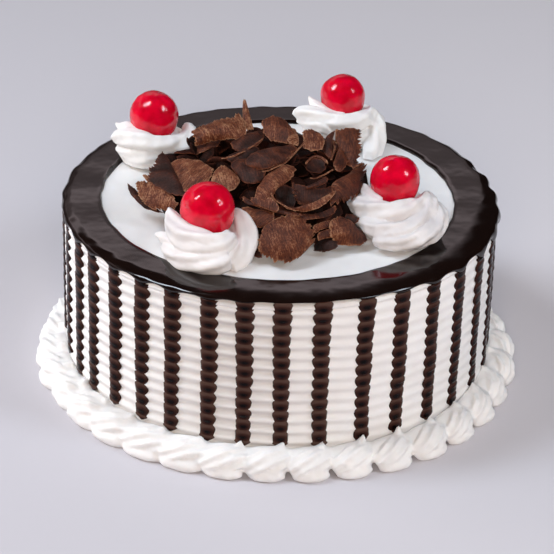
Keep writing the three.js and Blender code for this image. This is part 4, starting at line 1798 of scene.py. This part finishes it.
# short names for a shaving's edges, for the list below: each shaving's rim, its shade and belly, its torn
# edges, and for a few their grain, thickness and fade
T, R, B, L = Edge.TOP, Edge.RIGHT, Edge.BOTTOM, Edge.LEFT
SHAVINGS = (
    Shaving(((191, 130, 5), (212, 121, 6), (240, 112, 5), (247, 128, 6), (243, 140, 5), (222, 141, 4),
             (196, 147, 4), (193, 138, 4)), 0.72, 2.5, (T, B)),
    Shaving(((196, 141, 3), (208, 139, 3), (221, 137, 3), (219, 145, 3), (212, 147, 3), (205, 152, 3),
             (193, 156, 3), (195, 149, 3)), 0.42, 1.0, (B, L)),
    Shaving(((243, 101, 8), (244.5, 99, 8), (246, 101, 8), (250, 115, 7), (254, 131, 5), (249, 131, 5),
             (243, 128, 5), (242.5, 113, 7)), 0.8, 0.6),
    Shaving(((231, 142, 5), (246, 134, 6), (263, 131, 6), (264, 138, 5), (258, 146, 5), (248, 150, 4),
             (237, 151, 4), (231, 147, 4)), 0.4, 1.5),
    Shaving(((228, 156, 4), (240, 150, 5), (256, 146, 5), (259, 150, 5), (253, 157, 4), (244, 160, 4),
             (232, 162, 4), (226, 160, 4)), 0.25, 1.0),
    # a painted highlight: a narrow pale sliver for a lit edge
    Shaving(((222, 158, 6), (242, 151.8, 6), (262, 138.4, 6), (262.5, 139, 6), (262, 139.3, 6),
             (243, 152.9, 6), (223, 159, 6), (222, 158.5, 6)), 0.78, 0.0),
    Shaving(((162, 151, 4), (168, 158, 4), (172, 166, 3), (181, 183, 3), (188, 196, 3), (170, 194, 3),
             (144, 178, 4), (150, 163, 5)), 0.3, 1.5, (L,)),
    Shaving(((171, 163, 4), (190, 158, 4), (214, 169, 5), (211, 178, 5), (205, 190, 4), (194, 194, 4),
             (182, 190, 4), (175, 178, 4)), 0.72, 1.5),
    Shaving(((213, 174, 6), (221, 165, 6), (232, 172, 6), (240, 179, 6), (236, 187, 5), (228, 192, 5),
             (206, 192, 5), (210, 182, 6)), 0.82, 1.5),
    Shaving(((135, 181, 6), (149, 180, 6), (163, 186, 5), (173, 196, 4), (180, 205, 4), (166, 212, 3),
             (148, 207, 4), (136, 194, 5)), 0.78, 1.5, (T, L, B)),
    Shaving(((127.5, 183, 4), (133, 187, 4), (143, 196, 3), (152, 205, 3), (166, 213, 2), (152, 211, 2),
             (141, 205, 2), (131, 195, 3)), 0.35, 0.5),
    Shaving(((230, 162, 5), (243, 158, 5), (262, 157, 5), (266, 172, 5), (262, 182, 4), (248, 184, 4),
             (240, 178, 4), (233, 170, 4)), 0.36, 2.0),
    Shaving(((262, 121, 6), (275, 115, 7), (287, 122, 7), (297, 136, 7), (298, 145, 6), (283, 143, 6),
             (270, 141, 6), (262, 130, 6)), 0.66, 2.0),
    Shaving(((290, 130, 8), (294, 128, 8), (297, 134, 8), (299, 140, 8), (298, 146, 7), (292, 145, 7),
             (287, 141, 7), (289, 135, 8)), 0.85, 0.5),
    Shaving(((302, 132, 7), (309, 128, 7), (314, 131, 7), (324, 138, 7), (323, 150, 6), (312, 152, 6),
             (303, 148, 6), (303, 140, 7)), 0.66, 1.0, (T,)),
    Shaving(((245, 160, 7), (262, 149, 8), (297, 144, 8), (294, 154, 8), (282, 163, 7), (268, 169, 7),
             (255, 169, 6), (247, 166, 6)), 0.42, 2.5),
    # a painted highlight: a narrow pale sliver for a lit edge
    Shaving(((262, 171, 8), (286, 160.4, 8.5), (305, 139, 9), (306, 139.6, 9), (306, 140.2, 9),
             (286.6, 161.6, 8.5), (263, 172, 8), (262, 171.5, 8)), 0.82, 0.0),
    Shaving(((334, 132, 8), (347, 128, 9), (362, 130, 9), (363, 145, 9), (360, 165, 8), (348, 168, 7),
             (340, 152, 7), (337, 142, 7)), 0.54, 1.5, (R, R)),
    Shaving(((338, 150, 9), (344, 146, 9), (350, 155, 9), (347, 165, 9), (340, 172, 8), (335, 170, 8),
             (333, 163, 8), (336, 156, 9)), 0.5, 1.0),
    Shaving(((325, 140, 7), (330, 133, 7), (336, 131, 7), (333, 140, 7), (332, 158, 6), (328, 158, 6),
             (323, 150, 6), (323, 145, 7)), 0.4, 0.5),
    # a painted highlight: a narrow pale sliver for a lit edge
    Shaving(((305, 163, 8), (316, 155, 8), (328, 162, 8), (328.5, 163.5, 8), (328, 165, 8), (316, 156.6, 8),
             (306, 165, 8), (305, 164, 8)), 0.7, 0.0),
    Shaving(((308, 162, 6), (316, 158, 6), (325, 161, 6), (326, 168, 6), (321, 173, 6), (313, 173, 6),
             (307, 170, 6), (306, 166, 6)), 0.3, -2.0),
    Shaving(((336, 180, 7), (350, 172, 8), (366, 158, 8), (367, 176, 7), (359, 196, 5), (347, 203, 5),
             (331, 208, 5), (329, 192, 6)), 0.52, 1.5, (R, R, B, B)),
    Shaving(((290, 181, 8), (312, 187, 8), (333, 186, 8), (333, 194, 8), (327, 200, 7), (310, 207, 7),
             (296, 205, 7), (291, 193, 7)), 0.38, -2.0, (L, L)),
    Shaving(((285, 206, 8), (305, 210, 9), (322, 203.5, 9), (334, 191, 9), (335, 194, 8), (323, 206, 8),
             (306, 212.6, 8), (288, 209, 8)), 0.74, 0.8),
    Shaving(((262, 182, 7), (277, 167, 8), (296, 166, 9), (292, 178, 9), (277, 187, 8), (270, 200, 8),
             (262, 205, 7), (254, 196, 7)), 0.66, 2.5),
    Shaving(((253, 197, 8), (262, 198, 8), (272, 197, 9), (279, 207, 9), (276, 212, 8), (266, 209, 8),
             (256, 205, 7), (250, 200, 7)), 0.6, 0.5),
    # painted shade: the near-black inside of a hollow shaving
    Shaving(((275, 188, 7), (284, 185, 7), (293, 188, 7), (296, 198, 7), (294, 208, 7), (286, 206, 7),
             (277, 200, 7), (274, 193, 7)), 0.1, -3.0),
    # a painted highlight: a narrow pale sliver for the hollow's lit rim
    Shaving(((272, 188, 9), (276.4, 200, 9), (297, 211, 9), (297, 211.6, 9), (296, 212, 9), (275, 200.6, 9),
             (271, 189, 9), (271.5, 188, 9)), 0.78, 0.0),
    Shaving(((240, 207, 5), (255, 208, 5), (276, 213, 6), (275, 222, 5), (268, 226, 4), (255, 228, 4),
             (247, 224, 4), (243, 215, 4)), 0.62, 1.5, (L, B), 1.2),
    Shaving(((265, 226, 8), (283, 215, 8), (300, 216, 8), (317, 232, 8), (307, 248, 6), (285, 265, 3),
             (258, 252, 5), (258, 238, 7)), 0.66, 3.0, (R, B)),
    Shaving(((250, 228, 3), (256, 232, 4), (264, 236, 5), (262, 245, 4), (262, 258, 3), (255, 257, 2),
             (251, 256, 2), (251, 242, 3)), 0.25, 0.5),
    Shaving(((330, 222, 7), (340, 216, 7), (350, 222, 7), (362, 230, 6), (368, 238, 5), (355, 247, 3),
             (335, 243, 4), (329, 232, 6)), 0.55, 2.5, (), 0.0, 0.6, -0.25),
    Shaving(((316, 238, 4), (326, 233, 5), (336, 237, 5), (338, 246, 3), (330, 250, 2), (322, 253, 2),
             (313, 250, 2), (314, 244, 3)), 0.1, 1.0, (B,)),
    Shaving(((243, 196, 5), (265, 205, 6), (300, 213, 7), (302, 215, 7), (300, 217, 7), (270, 211, 6),
             (246, 203, 5), (242, 200, 5)), 0.5, 0.5),
    Shaving(((300, 214, 6), (318, 213, 6), (335, 205, 6), (337, 209, 6), (334, 214, 6), (318, 219, 6),
             (302, 220, 6), (299, 217, 6)), 0.4, 0.5),
    Shaving(((313, 226, 6), (322, 222, 6), (334, 219, 6), (334, 223, 6), (331, 227, 6), (322, 230, 6),
             (316, 234, 6), (313, 230, 6)), 0.62, 0.5, (T, B)),
    Shaving(((318, 233, 5), (325, 230, 5), (332, 228, 5), (333, 233, 5), (330, 238, 4), (324, 239, 4),
             (318, 241, 4), (317, 237, 4)), 0.5, 0.5),
    Shaving(((346, 214, 4), (352, 215, 4), (359, 218, 4), (358, 222, 4), (352, 224, 3), (347, 222, 3),
             (344, 219, 3), (345, 216, 4)), 0.3, 0.5),
    # a painted highlight: a narrow pale sliver for a lit edge
    Shaving(((310, 178, 8.5), (322, 175.2, 8.5), (333, 168.6, 8.5), (333.6, 169.2, 8.5), (333.4, 169.9, 8.5),
             (322.4, 176.4, 8.5), (310.4, 179, 8.5), (309.6, 178.5, 8.5)), 0.8, 0.0),
    # a painted highlight: a narrow pale sliver for a lit edge
    Shaving(((335.6, 129.6, 9), (337, 129.2, 9), (338.4, 130, 9), (338, 136, 9), (337.4, 143, 9),
             (336.2, 143.4, 9), (335.4, 142, 9), (335.2, 135, 9)), 0.95, 0.0),
    # a painted highlight: a narrow pale sliver for a lit edge
    Shaving(((332.6, 140, 8), (333.6, 139.6, 8), (334.6, 141, 8), (335.2, 150, 8), (331.8, 160, 7.5),
             (331, 160.4, 7.5), (330.4, 159.4, 7.5), (333.4, 150, 8)), 0.75, 0.0),
    # a painted highlight: narrow pale strands for lit edges
    Shaving(((142, 175, 5), (145, 174, 5), (147, 176, 5), (152, 180, 5), (156, 184, 5), (153, 185, 5),
             (149, 183, 5), (145, 179, 5)), 0.95, 0.3, (T, B)),
    Shaving(((306, 186, 8), (316, 182, 8), (326, 176, 8), (328, 179, 8), (327, 182, 7), (318, 187, 7),
             (308, 189, 7), (306, 188, 8)), 0.35, 0.8, (B,)),
)

# where the heap's foot stays bare, as x, y and radius, and how wide a gap the filling leaves round a rosette
BARE = ((-14.0, 66.0, 26.0), (46.0, 18.0, 15.0))
ROSETTE_GAP = 11.0


def write_size() -> None:
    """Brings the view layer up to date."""
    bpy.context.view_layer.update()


def main() -> None:
    """Builds the cake, piece by piece, and the studio round it."""
    logging.basicConfig(level=logging.INFO, format="%(name)s %(message)s")
    bpy.context.scene.view_settings.view_transform = "Standard"
    camera = StudioCamera()
    camera.build()
    Studio().build()
    cream = WhippedCream().material()
    pool = GlossGanache().material()
    run = ThinGanache().material()
    comb = Comb()
    CreamBody(comb).build(cream)
    Ganache(comb, LineSpacing()).build(pool, run)
    # a greyer copy of the cream for the two front rosettes, which is painted shade
    piped = WhippedCream("cream_painted_shade", white=0xEFEBEA, shade=0xD9D3D3, swirl=16.0).material()
    for rosette in ROSETTES:
        rosette.build(camera, piped if rosette.painted_shade else cream)
    cherry = GlazedCherry().material()
    for one in CHERRIES:
        one.build(cherry)
    ShellBorder().build(cream)
    clear = tuple((*rosette.centre, rosette.radius + ROSETTE_GAP) for rosette in ROSETTES) + BARE
    # a duller copy of the chocolate for the core and the filling, whose near black is painted shade
    gap_shade = ShavedChocolate("chocolate_gap_shade", shine=0.04)
    Heap(camera, SHAVINGS, clear=clear).build(ShavedChocolate().material(), gap_shade.material())
    write_size()


if __name__ == "__main__":
    main()
